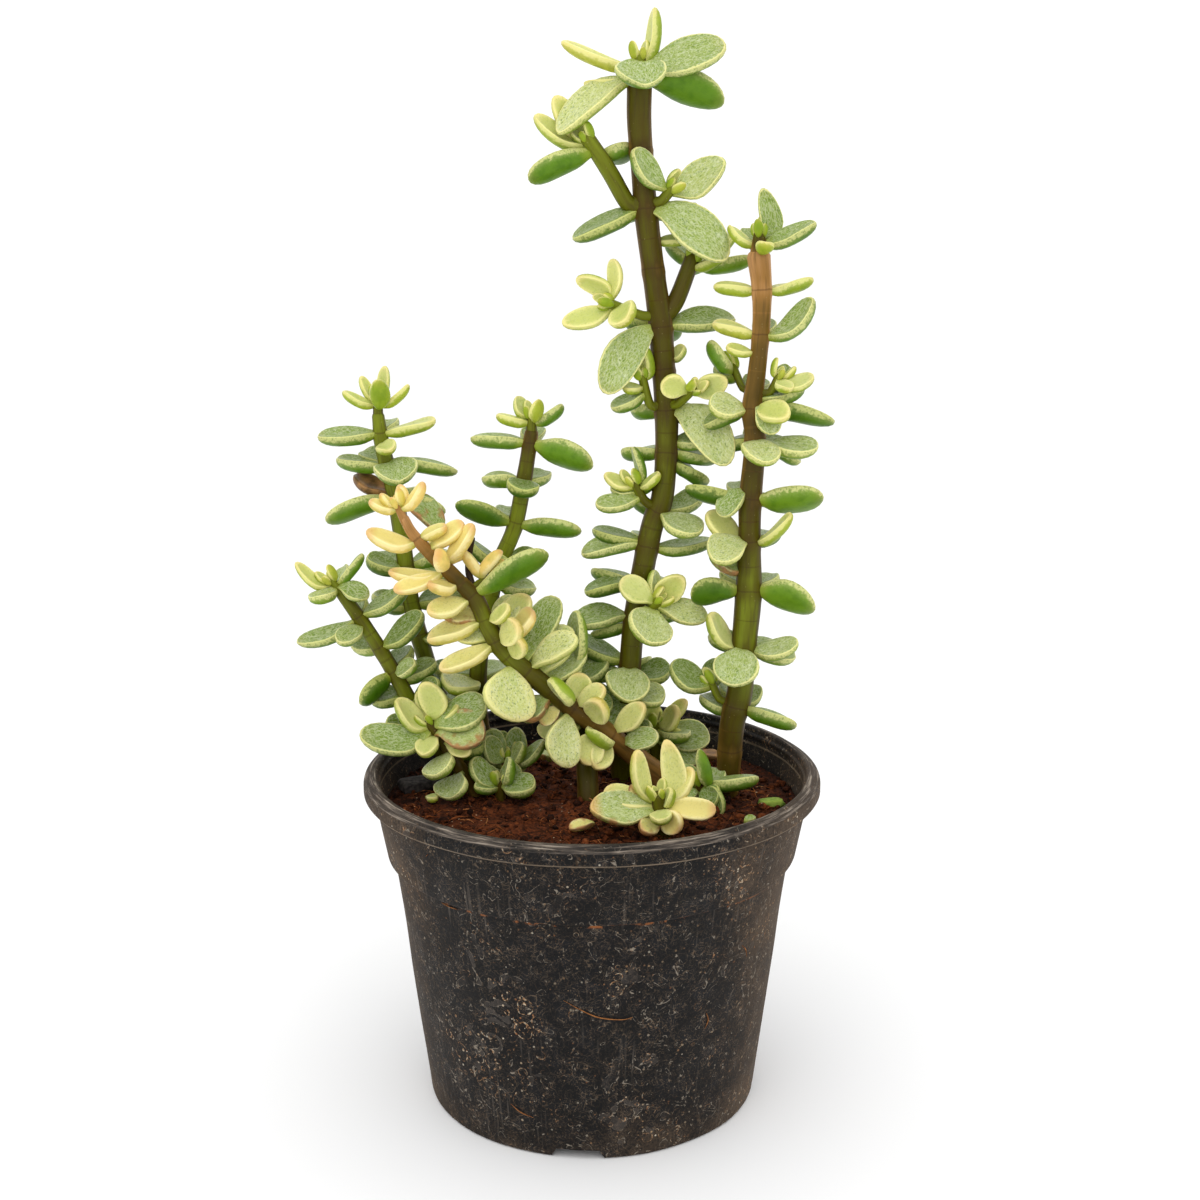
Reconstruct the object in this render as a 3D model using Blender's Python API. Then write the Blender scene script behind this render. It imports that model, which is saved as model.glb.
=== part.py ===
"""Potted elephant bush: a tapered nursery pot, potting mix and a branching leafy succulent.

The plant is laid out around the pot's own axis, in millimetres, with -Y towards the front.
A stem is a route of points with a diameter at each.  A leaf is written as the place of its
tip seen from the middle of its stem, its width, and how far its upper face turns to the front.
A tier is a pair or whorl of leaves joined by the thin sleeve that clasps their stem, a sprig is
a twig that grows from such a sleeve, and a shoot is a twig or a bud with its own leaves.
"""
import math

import bmesh
import bpy
from mathutils import Matrix, Vector

MM = 0.001
MERGE_DISTANCE = 0.01

# ---- pot ---------------------------------------------------------------------------------
RIM_RADIUS = 65.0
POT_HEIGHT = 97.0
BASE_RADIUS = 46.7
WALL = 1.3
LIP_HEIGHT = 5.4
LIP_WIDTH = 4.0
COLLAR_BOTTOM_Z = 73.0
COLLAR_BOTTOM_RADIUS = 57.9
COLLAR_TOP_RADIUS = 61.6
BODY_TOP_RADIUS = 55.7
FLOOR_TOP_Z = 4.6
FLOOR_UNDER_Z = 3.2
FOOT_WIDTH = 2.2
FOOT_INSET = 1.0
EDGE = 0.5
STEP_SLOPE = 0.7
LIP_THICKNESS = 2.0
POT_SIDES = 44
NOTCH_COUNT = 4
NOTCH_WIDTH = 14.0
NOTCH_HEIGHT = 2.9
NOTCH_SLANT = 1.0
FIRST_NOTCH_DEG = -94.5
DRAIN_COUNT = 8
DRAIN_RADIUS = 4.0
DRAIN_CIRCLE = 33.0
DRAIN_SIDES = 12
CUT_REACH = 2.0

# ---- potting mix and clearances ------------------------------------------------------------
GAP = 0.3
SOIL_EDGE_Z = 87.0
SOIL_CROWN = 1.0
CROWN_RADIUS = 30.0
SOIL_SIDES = 40
SOIL_PLAY = 0.35
ROOTED_Z = 76.0
SOCKET_STRETCH = 1.6

# ---- plant ---------------------------------------------------------------------------------
STEM_SIDES = 8
RING_SIDES = 7
RING_WALL = 0.9
RING_HALF_HEIGHT = 1.0
SLEEVE_STEP = 4.0
# A leaf's foot starts this far out in the sleeve's wall, and a sprig's knee this far beyond it.
FOOT_SHARE = 0.4
KNEE_REACH = 0.6
# On a shoot, leaves start this far under its skin.
SHOOT_SINK = 0.6
LEAF_THICKNESS = 1.7
# Places along a blade and its fullness there, which thins the blade by this share at its narrow end.
LEAF_STATIONS = ((0.0, 0.24), (0.42, 0.86), (0.84, 0.84))
LEAF_TAPER = 0.35
LEAF_FLARE = 0.30
TIP_SHARE = 0.16
# Below this a blade points so nearly to the front that its face can't turn there.
LEAST_TURN = 0.15
# Closed pieces whose many thin joints the exact solver leaves open.
MANIFOLD_JOINS = ("tall_leaves_8", "front_shoot")

# ---- stems: (x, y, z, diameter) from the buried end to the top ------------------------------
STEMS = {
    "tall_stem": (
        (9, 18, 76, 7.0), (9, 17, 89, 7.0), (9, 15, 104, 6.6), (11, 14, 122, 6.4),
        (12, 14, 134, 6.4), (14, 14, 147, 6.6), (17, 14, 163, 6.4), (20, 14, 172, 6.4),
        (21, 14, 184, 6.3), (21, 14, 197, 6.8), (20, 14, 210, 6.6), (19, 14, 222, 6.8),
        (17, 14, 236, 6.3), (15, 14, 251, 6.6), (14, 14, 262, 5.8), (13, 14, 275, 6.2),
        (13, 14, 284, 6.4)),
    "right_stem": (
        (38, 4, 76, 6.6), (39, 3, 89, 6.6), (40, 2, 108, 7.2), (42, 2, 118, 7.4),
        (43, 2, 132, 7.2), (44, 2, 147, 7.4), (44, 2, 163, 6.2), (44, 2, 174, 6.4),
        (45, 2, 190, 6.0), (44, 2, 199, 5.6), (45, 2, 208, 4.6), (46, 2, 220, 4.2),
        (46, 2, 231, 4.0), (45, 2, 240, 4.4)),
    "back_left_stem": (
        (-38, 24, 76, 5.6), (-39, 24, 89, 5.6), (-44, 24, 106, 5.4), (-49, 24, 122, 5.2),
        (-53, 24, 140, 5.0), (-55, 24, 158, 4.9), (-57, 24, 172, 4.8), (-60, 24, 185, 4.4),
        (-61, 24, 194, 3.6)),
    "middle_stem": (
        (-29, 21, 76, 5.4), (-30, 20, 89, 5.4), (-33, 19, 104, 5.2), (-33, 18, 122, 5.2),
        (-30, 18, 138, 5.0), (-27, 18, 151, 4.8), (-22, 18, 163, 4.6), (-19, 18, 178, 4.6),
        (-17, 18, 190, 4.0)),
    "leaning_stem": (
        (-40, 18, 76, 5.0), (-41, 18, 89, 5.0), (-45, 15, 98, 4.8), (-51, 11, 110, 4.6),
        (-57, 10, 122, 4.4), (-62, 10, 131, 4.2), (-67, 10, 139, 4.0), (-71, 10, 145, 3.6)),
    "yellow_stem": (
        (23, 9, 76, 6.4), (20, 8, 90, 6.4), (14, 5, 97, 6.2), (8, 2, 103, 6.0),
        (2, -1, 109, 6.0), (-4, -3, 114, 5.8), (-12, -4, 121, 5.6), (-20, -5, 128, 5.4),
        (-25, -5, 133, 5.2), (-29, -5, 140, 5.0), (-32, -5, 147, 4.8), (-38, -6, 154, 4.2),
        (-44, -6, 160, 3.6), (-49, -6, 166, 3.0), (-51, -6, 170, 2.6)),
    "low_stem": (
        (-1, -4, 76, 6.2), (-1, -1, 89, 6.2), (-2, 5, 100, 6.0), (-5, 9, 112, 5.4),
        (-12, 12, 130, 4.2)),
}

# ---- tiers: the stem, then leaves (height on the stem, (dx, dy, dz), width, turn) ------------
TIERS = {
    "tall_leaves_1": ("tall_stem", (
        (122, (-1, -14, -6), 13, 0), (122, (3, 15, -3), 11, 0))),
    "tall_leaves_2": ("tall_stem", (
        (137, (-18, -3, -1), 9, 25), (137, (15, 8, 1), 8, 0),
        (147, (-16, -3, -2), 8, 10), (147, (-14, 8, 2), 8, 0), (147, (9, 12, -2), 9, 0))),
    "tall_leaves_3": ("tall_stem", (
        (158, (-19, -2, -2), 8, 15), (158, (19, 4, 1), 8, 10))),
    "tall_leaves_4": ("tall_stem", (
        (168, (11, -12, -4), 11, 20), (168, (-4, 15, 0), 10, 0))),
    "tall_leaves_5": ("tall_stem", (
        (185, (15, 7, -3), 8, 10), (185, (-12, 9, -2), 8, 0))),
    "tall_leaves_6": ("tall_stem", (
        (197, (20, -7, -14), 11, 60), (197, (-8, 12, -2), 9, 0))),
    "tall_leaves_7": ("tall_stem", (
        (220, (-16, -9, -17), 11, 70), (220, (21, 3, 2), 9, 30), (220, (3, 14, -4), 9, 0))),
    "tall_leaves_8": ("tall_stem", (
        (252, (-20, -2, -8), 9, 20), (252, (22, -8, -13), 12, 60), (252, (14, 11, -4), 9, 0))),
    "right_leaves_1": ("right_stem", (
        (114, (17, -3, -5), 8, -10), (114, (7, 8, 4), 6, 0))),
    "right_leaves_2": ("right_stem", (
        (131, (-5, -13, -7), 13, 0), (131, (-10, -3, 11), 8, 40), (131, (15, -4, 3), 8, 25),
        (131, (11, 9, -1), 8, 0))),
    "right_leaves_3": ("right_stem", (
        (148, (20, -3, -5), 10.5, 50), (148, (-16, 2, -3), 10, 30), (148, (-6, 12, 3), 8, 0))),
    "right_leaves_4": ("right_stem", (
        (162, (-11, -10, -3), 11, 25), (162, (-12, 1, 8), 8, 40), (162, (11, -6, 9), 6, 20),
        (162, (8, 12, 0), 9, 0))),
    "right_leaves_5": ("right_stem", (
        (174, (-18, 2, 3), 9, -20), (174, (20, -3, 1), 11, 35), (174, (-3, 14, 2), 9, 0))),
    "right_leaves_6": ("right_stem", (
        (190, (2, -13, -4), 11, 0), (190, (17, -4, -1), 9, 20), (190, (3, 13, 0), 9, 0))),
    "right_leaves_7": ("right_stem", (
        (199, (23, 2, -4), 10, -15), (199, (-12, -4, 2), 9, 40), (199, (9, -10, -1), 8, 30))),
    "right_leaves_8": ("right_stem", (
        (219, (14, -2, 10), 8, 30), (219, (-13, 3, 3), 7, 0))),
    "right_leaves_9": ("right_stem", (
        (231, (-13, 2, 1), 7, 0), (231, (14, 1, 3), 7, 0))),
    "back_left_leaves_1": ("back_left_stem", (
        (150, (-11, -4, 3), 9, 20), (150, (11, 8, 3), 9, 0))),
    "back_left_leaves_2": ("back_left_stem", (
        (170, (-20, -3, -6), 10, 35), (170, (14, 3, -5), 8, 0), (170, (2, 14, 0), 9, 0))),
    "back_left_leaves_3": ("back_left_stem", (
        (180, (5, -13, -3), 13, 0), (180, (-15, 4, 1), 8, 0), (180, (20, 4, -3), 8, 0))),
    "back_left_leaves_4": ("back_left_stem", (
        (189, (-18, -1, -1), 8, 15), (189, (16, -1, 4), 7.5, 0))),
    "middle_leaves_1": ("middle_stem", (
        (117, (-8, -14, 2), 12, 10), (117, (6, 13, 2), 10, 0))),
    "middle_leaves_2": ("middle_stem", (
        (152, (-10, 3, 7), 8, 0), (152, (4, -12, 3), 9, 0))),
    "middle_leaves_3": ("middle_stem", (
        (164, (-17, -2, 6), 8, -20), (164, (19, -2, -2), 8, 0))),
    "middle_leaves_4": ("middle_stem", (
        (176, (1, -11, -1), 9.5, 0), (176, (-12, 4, 0), 8, 0), (176, (6, 11, 1), 8, 0))),
    "middle_leaves_5": ("middle_stem", (
        (187, (-17, 2, 1), 8, 0), (187, (18, -4, -6), 10, 50))),
    "leaning_leaves_1": ("leaning_stem", (
        (122, (-9, -6, -8), 10, 45), (122, (7, -6, 4), 6, 30), (122, (2, 12, 4), 9, 0),
        (129, (13, -2, 11), 8.5, 30), (129, (-8, 10, 3), 9, 0))),
    "leaning_leaves_2": ("leaning_stem", (
        (138, (14, 2, 8), 8, 20), (138, (-18, -1, -7), 7, 20))),
    "yellow_leaves_1": ("yellow_stem", (
        (106, (10, -3, 10), 7, 40), (106, (-4, -9, -7), 7, 70),
        (115, (-2, -8, -14), 8.5, 90), (115, (9, -3, 7), 6.5, 40), (115, (2, 2, 10), 8, 70))),
    "yellow_leaves_2": ("yellow_stem", (
        (126, (-4, -8, -14), 14, 90), (126, (14, -4, 11), 8, -10), (126, (3, 10, 4), 8, 0))),
    "yellow_leaves_3": ("yellow_stem", (
        (135, (-16, -4, -7), 7, 25), (135, (6, -7, 7), 8, 60), (135, (10, 1, 9), 8, 20),
        (141, (-16, -3, -5), 8, 25), (141, (-11, 7, -2), 6, 0))),
    "yellow_leaves_4": ("yellow_stem", (
        (148, (21, -3, 13), 9, -30), (148, (-12, -6, -3), 7, 40))),
    "yellow_leaves_5": ("yellow_stem", (
        (156, (-16, 1, -1), 5.5, 10), (156, (-14, -5, -5), 5.5, 40), (157, (9, -3, 12), 6, 30),
        (157, (-1, -8, 5), 6, 40), (157, (6, 7, 2), 5, 0),
        (164, (-14, -2, 3), 6.5, 30), (164, (8, -1, 4), 5, 20))),
    "low_leaves": ("low_stem", (
        (124, (6, -6, 17), 11, 60), (124, (3, -12, -3), 12, 10), (124, (-5, 13, 2), 11, 0))),
}

# ---- sprigs that grow from a tier's sleeve: foot height, route beyond it, leaves --------------
SPRIGS = {
    "tall_leaves_2": (
        (139, ((17, 7, 142, 3.2), (19, 6, 144, 3.0)), (
            (143, (-10, -1, 7), 8, 30), (143, (8, -1, 8), 8, 30), (143, (0, 4, 9), 5, 0),
            (142, (-1, -14, -7), 14, 0), (143, (15, 0, -4), 8, 20))),),
    "tall_leaves_6": (
        (199, ((14, 11, 207, 2.6),), (
            (206, (0, -1, 10), 4, 0), (204, (-6, -4, 0), 5, 20), (202, (-10, -2, -4), 7, 10))),
        (199, ((28, 5, 204, 2.6),), (
            (203, (-8, -3, 3), 7, 50), (203, (10, -3, 4), 7, 40)))),
    "tall_leaves_7": (
        (224, ((5, 9, 227, 2.8),), (
            (227, (-9, -1, 7), 6, 20), (227, (1, 2, 12), 5, 30), (226.6, (-14, -2, -5), 7, 30),
            (226, (2, -10, -3), 9, 30))),),
    "tall_leaves_8": (
        (254, ((5, 12, 262, 4.0), (-1, 11, 271, 3.6)), (
            (268, (-18, -2, -8), 8.5, -40), (270, (-15, 3, 7), 7, 0), (271, (-9, 4, 11), 7, -10),
            (266, (8, 10, 0), 9, 0))),
        (254, ((22, 11, 258, 3.0),), (
            (257, (-10, -4, 11), 8, 30), (257, (15, -2, 8), 9.5, 50)))),
    "right_leaves_1": (
        (115, ((34, 4, 121, 2.4),), (
            (120, (-12, 1, 6), 10, 40), (120, (0, 9, 5), 7, 0))),),
    "right_leaves_7": (
        (204, ((39, 8, 210, 2.2),), (
            (209, (-7, 1, 8), 8, 50), (208, (-5, 7, 1), 7, 0))),
        (204, ((51, 1, 208, 2.2),), (
            (207, (10, -2, 1), 6, 40), (207, (3, -6, -2), 5, 30), (207, (4, 6, 3), 5, 0)))),
    "yellow_leaves_4": (
        (149, ((-27, -2, 153, 2.0),), (
            (152, (-6, 2, 8), 5, 20), (152, (5, 2, 8), 5, 20))),),
}

# ---- shoots of their own: route, then leaves as in a tier -------------------------------------
SHOOTS = {
    "tall_top_leaves": (
        ((13, 14, 284.8, 5.0), (13, 14, 292, 3.2)), (
            (289, (-21, 0, 7), 7, 10), (291, (1, 3, 13), 6, 30), (286, (-15, 4, -1), 6, 10),
            (290, (1, -12, -6), 12.5, 0), (288, (23, -3, 6), 11, 50), (286, (23, 2, -6), 10, -45),
            (286, (-22, -5, -14), 10, 55), (288, (3, 14, 2), 10, 0))),
    "tall_shoot_right": (
        ((23.3, 15, 227, 3.8), (28, 16, 239, 3.4)), (
            (238, (17, -2, 1), 8, 0), (238, (13, 4, 8), 5, 10), (238, (-6, 9, 5), 7, 0))),
    "tall_shoot_left": (
        ((15.0, 12.5, 171.5, 2.8), (12, 11.5, 177, 2.4)), (
            (176, (-1, 0, 11), 4.5, 0), (176, (-9, 2, 3), 5, 10), (173, (-13, -4, -2), 7, 20),
            (175, (6, -3, 5), 5, 10))),
    "right_top_leaves": (
        ((45, 2, 240.9, 3.8), (45, 2, 246, 2.8)), (
            (244, (1, 1, 14), 6, 60), (243, (15, -2, 6), 7, 30), (243, (-8, 4, 5), 5, 0),
            (242, (1, -8, 2), 5, 0))),
    "back_left_top_leaves": (
        ((-61, 24, 194.8, 3.0), (-61, 24, 200, 2.4)), (
            (197, (-10, 0, 4), 5, 10), (198, (-5, 4, 7), 4, 0), (199, (2, 3, 9), 4, 0),
            (197, (1, -5, 8), 6, 0), (197, (9, 0, 6), 5, 0))),
    "middle_top_leaves": (
        ((-17, 18, 190.8, 3.2), (-17, 18, 195, 2.4)), (
            (193, (-10, 0, 2), 6, 0), (194, (-4, 4, 6), 5, 0), (193, (9, 0, 5), 6, 0),
            (194, (2, -4, 6), 5, 30))),
    "leaning_top_leaves": (
        ((-71.4, 10, 145.8, 2.8), (-74, 10, 149, 2.2)), (
            (148, (-11, 1, 6), 4.5, 10), (147.5, (8, 1, 9), 4.5, 0), (147, (-7, -6, -2), 7, 30),
            (146.6, (9, -3, -2), 6, 20))),
    "yellow_top_leaves": (
        ((-51.6, -6, 170.8, 2.4), (-53, -6, 174, 2.0)), (
            (173, (-8, 0, 2), 4.5, 20), (173, (0, 3, 6), 4, 0), (172.4, (7, -2, 8), 5, 20))),
    "front_left_shoot": (
        ((-33, 1, 76, 4.4), (-34, 1, 89, 4.2), (-38, 0, 97, 4.0), (-42, 0, 104, 3.6),
         (-46, 0, 110, 3.2)), (
            (109, (-10, -1, 8), 8, 40), (110, (-1, 0, 12), 8, 80), (109, (8, -1, 6), 5, 30),
            (108, (-21, -3, -1), 11, 40), (106, (-4, -9, -3), 7, 30), (103, (7, -2, 3), 5, 0),
            (101, (-3, -12, -3), 10.5, 0), (95, (-3, -9, -5), 11, 0))),
    "small_shoot_left": (
        ((-25, 8, 76, 3.4), (-25, 8, 89, 3.2), (-24.5, 8, 97, 2.8)), (
            (96, (-5, 1, 9), 8, 60), (96, (3, 3, 9), 7, 30), (95, (11, 0, 7), 6, 20),
            (94, (-12, 3, 6), 6, 10))),
    "small_shoot_front": (
        ((-26, -2, 76, 3.2), (-26, -2, 89, 3.0), (-26, -2, 93, 2.6)), (
            (92, (-8, -1, 8), 7, 50), (92, (10, -5, 1), 9, 30), (91, (-7, -5, 2), 5, 10))),
    "centre_shoot": (
        ((19, 24, 76, 4.2), (19, 24, 88, 4.0), (19, 23, 97, 3.6), (19, 22, 103, 3.0)), (
            (102, (-1, -2, 11), 8, 70), (102, (9, 0, 8), 5, 30), (101, (8, -6, -2), 6, 20),
            (99, (16, -2, -1), 10, 45), (101, (-7, 8, 5), 8, 0), (96, (6, 12, 1), 9, 0))),
    "front_shoot": (
        ((20, -31, 76, 5.0), (20, -31, 87, 5.0), (19, -31, 93, 4.6), (18, -31, 99, 3.8)), (
            (98, (-6, 0, 14), 6, 40), (97, (2, 3, 17), 7, 50), (97, (9, 3, 9), 6, 30),
            (96, (15, -3, 0), 6.5, 50), (95, (-1, -9, 0), 6, 40), (94, (-17, -4, 1), 12, 55),
            (96, (-15, 5, 3), 9, 10))),
    "right_low_shoot": (
        ((32, -5, 76, 4.2), (32, -5, 88, 4.0), (31, -5, 94, 3.4)), (
            (93, (16, -3, 3), 7, 0), (93, (-1, -1, 11), 5, 30), (92, (3, -9, -2), 7, 30))),
}

# ---- loose things on the potting mix: (x, y), size (length, width, height), turn in degrees --
LITTER = {
    "bark_chip": ((-50, 8), (12, 6, 3.4), 25),
    "fallen_leaf": ((51, -6), (7, 4.5, 2.2), 15),
}


# ---- mesh helpers ----------------------------------------------------------------------------
def material(name, colour, roughness):
    """Return a Principled material with one colour and one roughness."""
    made = bpy.data.materials.get(name) or bpy.data.materials.new(name)
    made.use_nodes = True
    shader = made.node_tree.nodes["Principled BSDF"]
    shader.inputs["Base Color"].default_value = (*colour, 1.0)
    shader.inputs["Roughness"].default_value = roughness
    return made


def new_object(name, bm, surface=None):
    """Turn a bmesh in millimetres into a linked object in metres."""
    bmesh.ops.recalc_face_normals(bm, faces=bm.faces[:])
    mesh = bpy.data.meshes.new(name)
    bm.to_mesh(mesh)
    bm.free()
    made = bpy.data.objects.new(name, mesh)
    bpy.context.scene.collection.objects.link(made)
    if surface:
        mesh.materials.append(surface)
    return made


def loft(bm, rings, closed=False):
    """Skin a run of equal rings of points; an open run gets a flat cap at each end."""
    loops = [[bm.verts.new(point) for point in ring] for ring in rings]
    count = len(loops[0])
    pairs = list(zip(loops, loops[1:]))
    if closed:
        pairs.append((loops[-1], loops[0]))
    for low, high in pairs:
        for i in range(count):
            j = (i + 1) % count
            bm.faces.new((low[i], low[j], high[j], high[i]))
    if not closed:
        bm.faces.new(loops[0][::-1])
        bm.faces.new(loops[-1])


def ring_points(centre, along, radius, sides):
    """Points of a regular polygon around a direction, with a steady starting corner."""
    side = along.cross(Vector((0, 1, 0))).normalized()
    other = along.cross(side).normalized()
    turns = [2 * math.pi * i / sides for i in range(sides)]
    return [centre + side * radius * math.cos(a) + other * radius * math.sin(a) for a in turns]


def route_at(route, z):
    """Middle, direction and radius of a stem at a height."""
    last = len(route) - 2
    for i in range(last + 1):
        low, high = route[i], route[i + 1]
        if z <= high[2] or i == last:
            share = (z - low[2]) / (high[2] - low[2])
            middle = Vector(low[:3]).lerp(Vector(high[:3]), share)
            along = (Vector(high[:3]) - Vector(low[:3])).normalized()
            return middle, along, 0.5 * (low[3] + (high[3] - low[3]) * share)


def tube_bmesh(route, clearance=0.0):
    """A closed tube along a route, widened by a clearance."""
    bm = bmesh.new()
    rings = []
    for i, point in enumerate(route):
        before = Vector(route[max(i - 1, 0)][:3])
        after = Vector(route[min(i + 1, len(route) - 1)][:3])
        radius = point[3] / 2 + clearance
        rings.append(ring_points(Vector(point[:3]), (after - before).normalized(), radius, STEM_SIDES))
    loft(bm, rings)
    return bm


def leaf_bmesh(route, leaf):
    """One flattened, egg-shaped blade that leaves its stem outwards and bends to its tip."""
    height, reach, width, turn = leaf
    middle, along, radius = route_at(route, height)
    reach = Vector(reach)
    outward = (reach - along * reach.dot(along)).normalized()
    base = middle + outward * (radius + GAP + FOOT_SHARE * RING_WALL)
    tip = middle + reach
    chord = tip - base
    bend = base + outward * LEAF_FLARE * chord.length
    lie = chord.normalized()
    upward = (along - lie * along.dot(lie)).normalized()
    front = Vector((0, -1, 0))
    front = front - lie * front.dot(lie) - upward * front.dot(upward)
    if front.length < LEAST_TURN:
        front = Vector((0, 0, 0))
    else:
        front.normalize()
    angle = math.radians(turn)
    face = (upward * math.cos(angle) + front * math.sin(angle)).normalized()
    across = lie.cross(face).normalized()
    bm = bmesh.new()
    rings = []
    for share, fullness in LEAF_STATIONS:
        spine = base * (1 - share) ** 2 + bend * 2 * share * (1 - share) + tip * share ** 2
        heading = ((bend - base) * (1 - share) + (tip - bend) * share).normalized()
        lift = across.cross(heading).normalized()
        half = 0.5 * width * fullness
        thick = 0.5 * LEAF_THICKNESS * (1 - LEAF_TAPER + LEAF_TAPER * fullness)
        rings.append([spine + across * half, spine + lift * thick,
                      spine - across * half, spine - lift * thick])
    loft(bm, rings)
    bmesh.ops.recalc_face_normals(bm, faces=bm.faces[:])
    end = max(bm.faces, key=lambda face: (face.calc_center_median() - base).length)
    bmesh.ops.poke(bm, faces=[end], offset=TIP_SHARE * chord.length)
    return bm


def clasp_bmesh(route, low, high):
    """The thin sleeve around a stem that a tier of leaves grows from."""
    bm = bmesh.new()
    start = low - RING_HALF_HEIGHT
    end = high + RING_HALF_HEIGHT
    count = 2 + int((end - start) / SLEEVE_STEP)
    corner = 1 / math.cos(math.pi / RING_SIDES)
    outer, inner = [], []
    for i in range(count):
        middle, along, radius = route_at(route, start + (end - start) * i / (count - 1))
        outer.append(ring_points(middle, along, (radius + GAP + RING_WALL) * corner, RING_SIDES))
        inner.append(ring_points(middle, along, (radius + GAP) * corner, RING_SIDES))
    loft(bm, outer + inner[::-1], closed=True)
    return bm


def boolean(target, other, operation, solver="EXACT"):
    """Apply one Boolean and remove the other object."""
    step = target.modifiers.new(operation.lower(), "BOOLEAN")
    step.operation = operation
    step.solver = solver
    step.object = other
    graph = bpy.context.evaluated_depsgraph_get()
    result = bpy.data.meshes.new_from_object(target.evaluated_get(graph))
    target.modifiers.clear()
    old = target.data
    target.data = result
    bpy.data.meshes.remove(old)
    bpy.data.objects.remove(other)


def join_all(name, pieces, surface):
    """Grow the pieces together into one solid."""
    whole = new_object(name, pieces[0], surface)
    solver = "MANIFOLD" if name in MANIFOLD_JOINS else "EXACT"
    for piece in pieces[1:]:
        boolean(whole, new_object("extra", piece), "UNION", solver)
    whole.name = name
    return whole


# ---- pieces ------------------------------------------------------------------------------------
def pot_profile():
    """Half section of the pot, from the middle of the floor's underside round to its top."""
    lip_low = POT_HEIGHT - LIP_HEIGHT
    lip_inner = RIM_RADIUS - LIP_WIDTH
    foot_outer = BASE_RADIUS - FOOT_INSET
    foot_inner = foot_outer - FOOT_WIDTH
    lip_roof = POT_HEIGHT - LIP_THICKNESS
    underside = [(0.0, FLOOR_UNDER_Z), (foot_inner - EDGE, FLOOR_UNDER_Z), (foot_inner, 0.0)]
    outside = [
        (foot_outer, 0.0), (BASE_RADIUS - EDGE / 2, EDGE), (BASE_RADIUS, 3 * EDGE),
        (BODY_TOP_RADIUS, COLLAR_BOTTOM_Z - STEP_SLOPE / 2),
        (COLLAR_BOTTOM_RADIUS, COLLAR_BOTTOM_Z + STEP_SLOPE / 2), (COLLAR_TOP_RADIUS, lip_low + EDGE)]
    # The lip turns outwards, over and down, and is open underneath.
    lip = [
        (COLLAR_TOP_RADIUS, lip_roof), (RIM_RADIUS - WALL, lip_roof), (RIM_RADIUS - WALL, lip_low),
        (RIM_RADIUS - EDGE, lip_low), (RIM_RADIUS, lip_low + EDGE), (RIM_RADIUS, POT_HEIGHT - 3 * EDGE),
        (RIM_RADIUS - EDGE, POT_HEIGHT - EDGE), (RIM_RADIUS - 3 * EDGE, POT_HEIGHT),
        (lip_inner + EDGE, POT_HEIGHT), (lip_inner, POT_HEIGHT - EDGE)]
    inside = [
        (COLLAR_TOP_RADIUS - WALL, lip_low), (COLLAR_BOTTOM_RADIUS - WALL, COLLAR_BOTTOM_Z + 2 * EDGE),
        (BODY_TOP_RADIUS - WALL, COLLAR_BOTTOM_Z - 2 * EDGE),
        (BASE_RADIUS - WALL + EDGE, FLOOR_TOP_Z + 2 * EDGE), (BASE_RADIUS - WALL - 2 * EDGE, FLOOR_TOP_Z),
        (0.0, FLOOR_TOP_Z)]
    return underside + outside + lip + inside


def turned(name, profile, sides, surface):
    """Spin a half section that starts and ends on the axis."""
    bm = bmesh.new()
    verts = [bm.verts.new((radius, 0, z)) for radius, z in profile]
    edges = [bm.edges.new(pair) for pair in zip(verts, verts[1:])]
    bmesh.ops.spin(bm, geom=verts + edges, cent=(0, 0, 0), axis=(0, 0, 1), angle=2 * math.pi,
                   steps=sides, use_merge=True, use_duplicate=False)
    bmesh.ops.remove_doubles(bm, verts=bm.verts[:], dist=MERGE_DISTANCE)
    return new_object(name, bm, surface)


def notch_cutter():
    """Openings with slanted sides under the foot, all in one cutter."""
    bm = bmesh.new()
    half = NOTCH_WIDTH / 2
    section = [(-half - NOTCH_SLANT, -1), (half + NOTCH_SLANT, -1),
               (half - NOTCH_SLANT, NOTCH_HEIGHT), (NOTCH_SLANT - half, NOTCH_HEIGHT)]
    inner = BASE_RADIUS - FOOT_INSET - FOOT_WIDTH - CUT_REACH
    outer = BASE_RADIUS + CUT_REACH
    for i in range(NOTCH_COUNT):
        turn = Matrix.Rotation(math.radians(FIRST_NOTCH_DEG + 360 * i / NOTCH_COUNT), 4, "Z")
        loft(bm, [[turn @ Vector((radius, y, z)) for y, z in section] for radius in (inner, outer)])
    return new_object("notch_cutter", bm)


def drain_cutter():
    """Round drain holes near the edge of the floor, all in one cutter."""
    bm = bmesh.new()
    middle = (FLOOR_UNDER_Z + FLOOR_TOP_Z) / 2
    depth = FLOOR_TOP_Z - FLOOR_UNDER_Z + 2 * CUT_REACH
    for i in range(DRAIN_COUNT):
        angle = 2 * math.pi * (i + 0.5) / DRAIN_COUNT
        place = Matrix.Translation(
            (DRAIN_CIRCLE * math.cos(angle), DRAIN_CIRCLE * math.sin(angle), middle))
        bmesh.ops.create_cone(bm, cap_ends=True, segments=DRAIN_SIDES, radius1=DRAIN_RADIUS,
                              radius2=DRAIN_RADIUS, depth=depth, matrix=place)
    return new_object("drain_cutter", bm)


def make_pot():
    """Moulded pot with a rolled lip, a collar band, a foot with notches and a drained floor."""
    surface = material("black_plastic", (0.03, 0.03, 0.03), 0.55)
    pot = turned("pot", pot_profile(), POT_SIDES, surface)
    boolean(pot, notch_cutter(), "DIFFERENCE")
    boolean(pot, drain_cutter(), "DIFFERENCE")
    return pot


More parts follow.
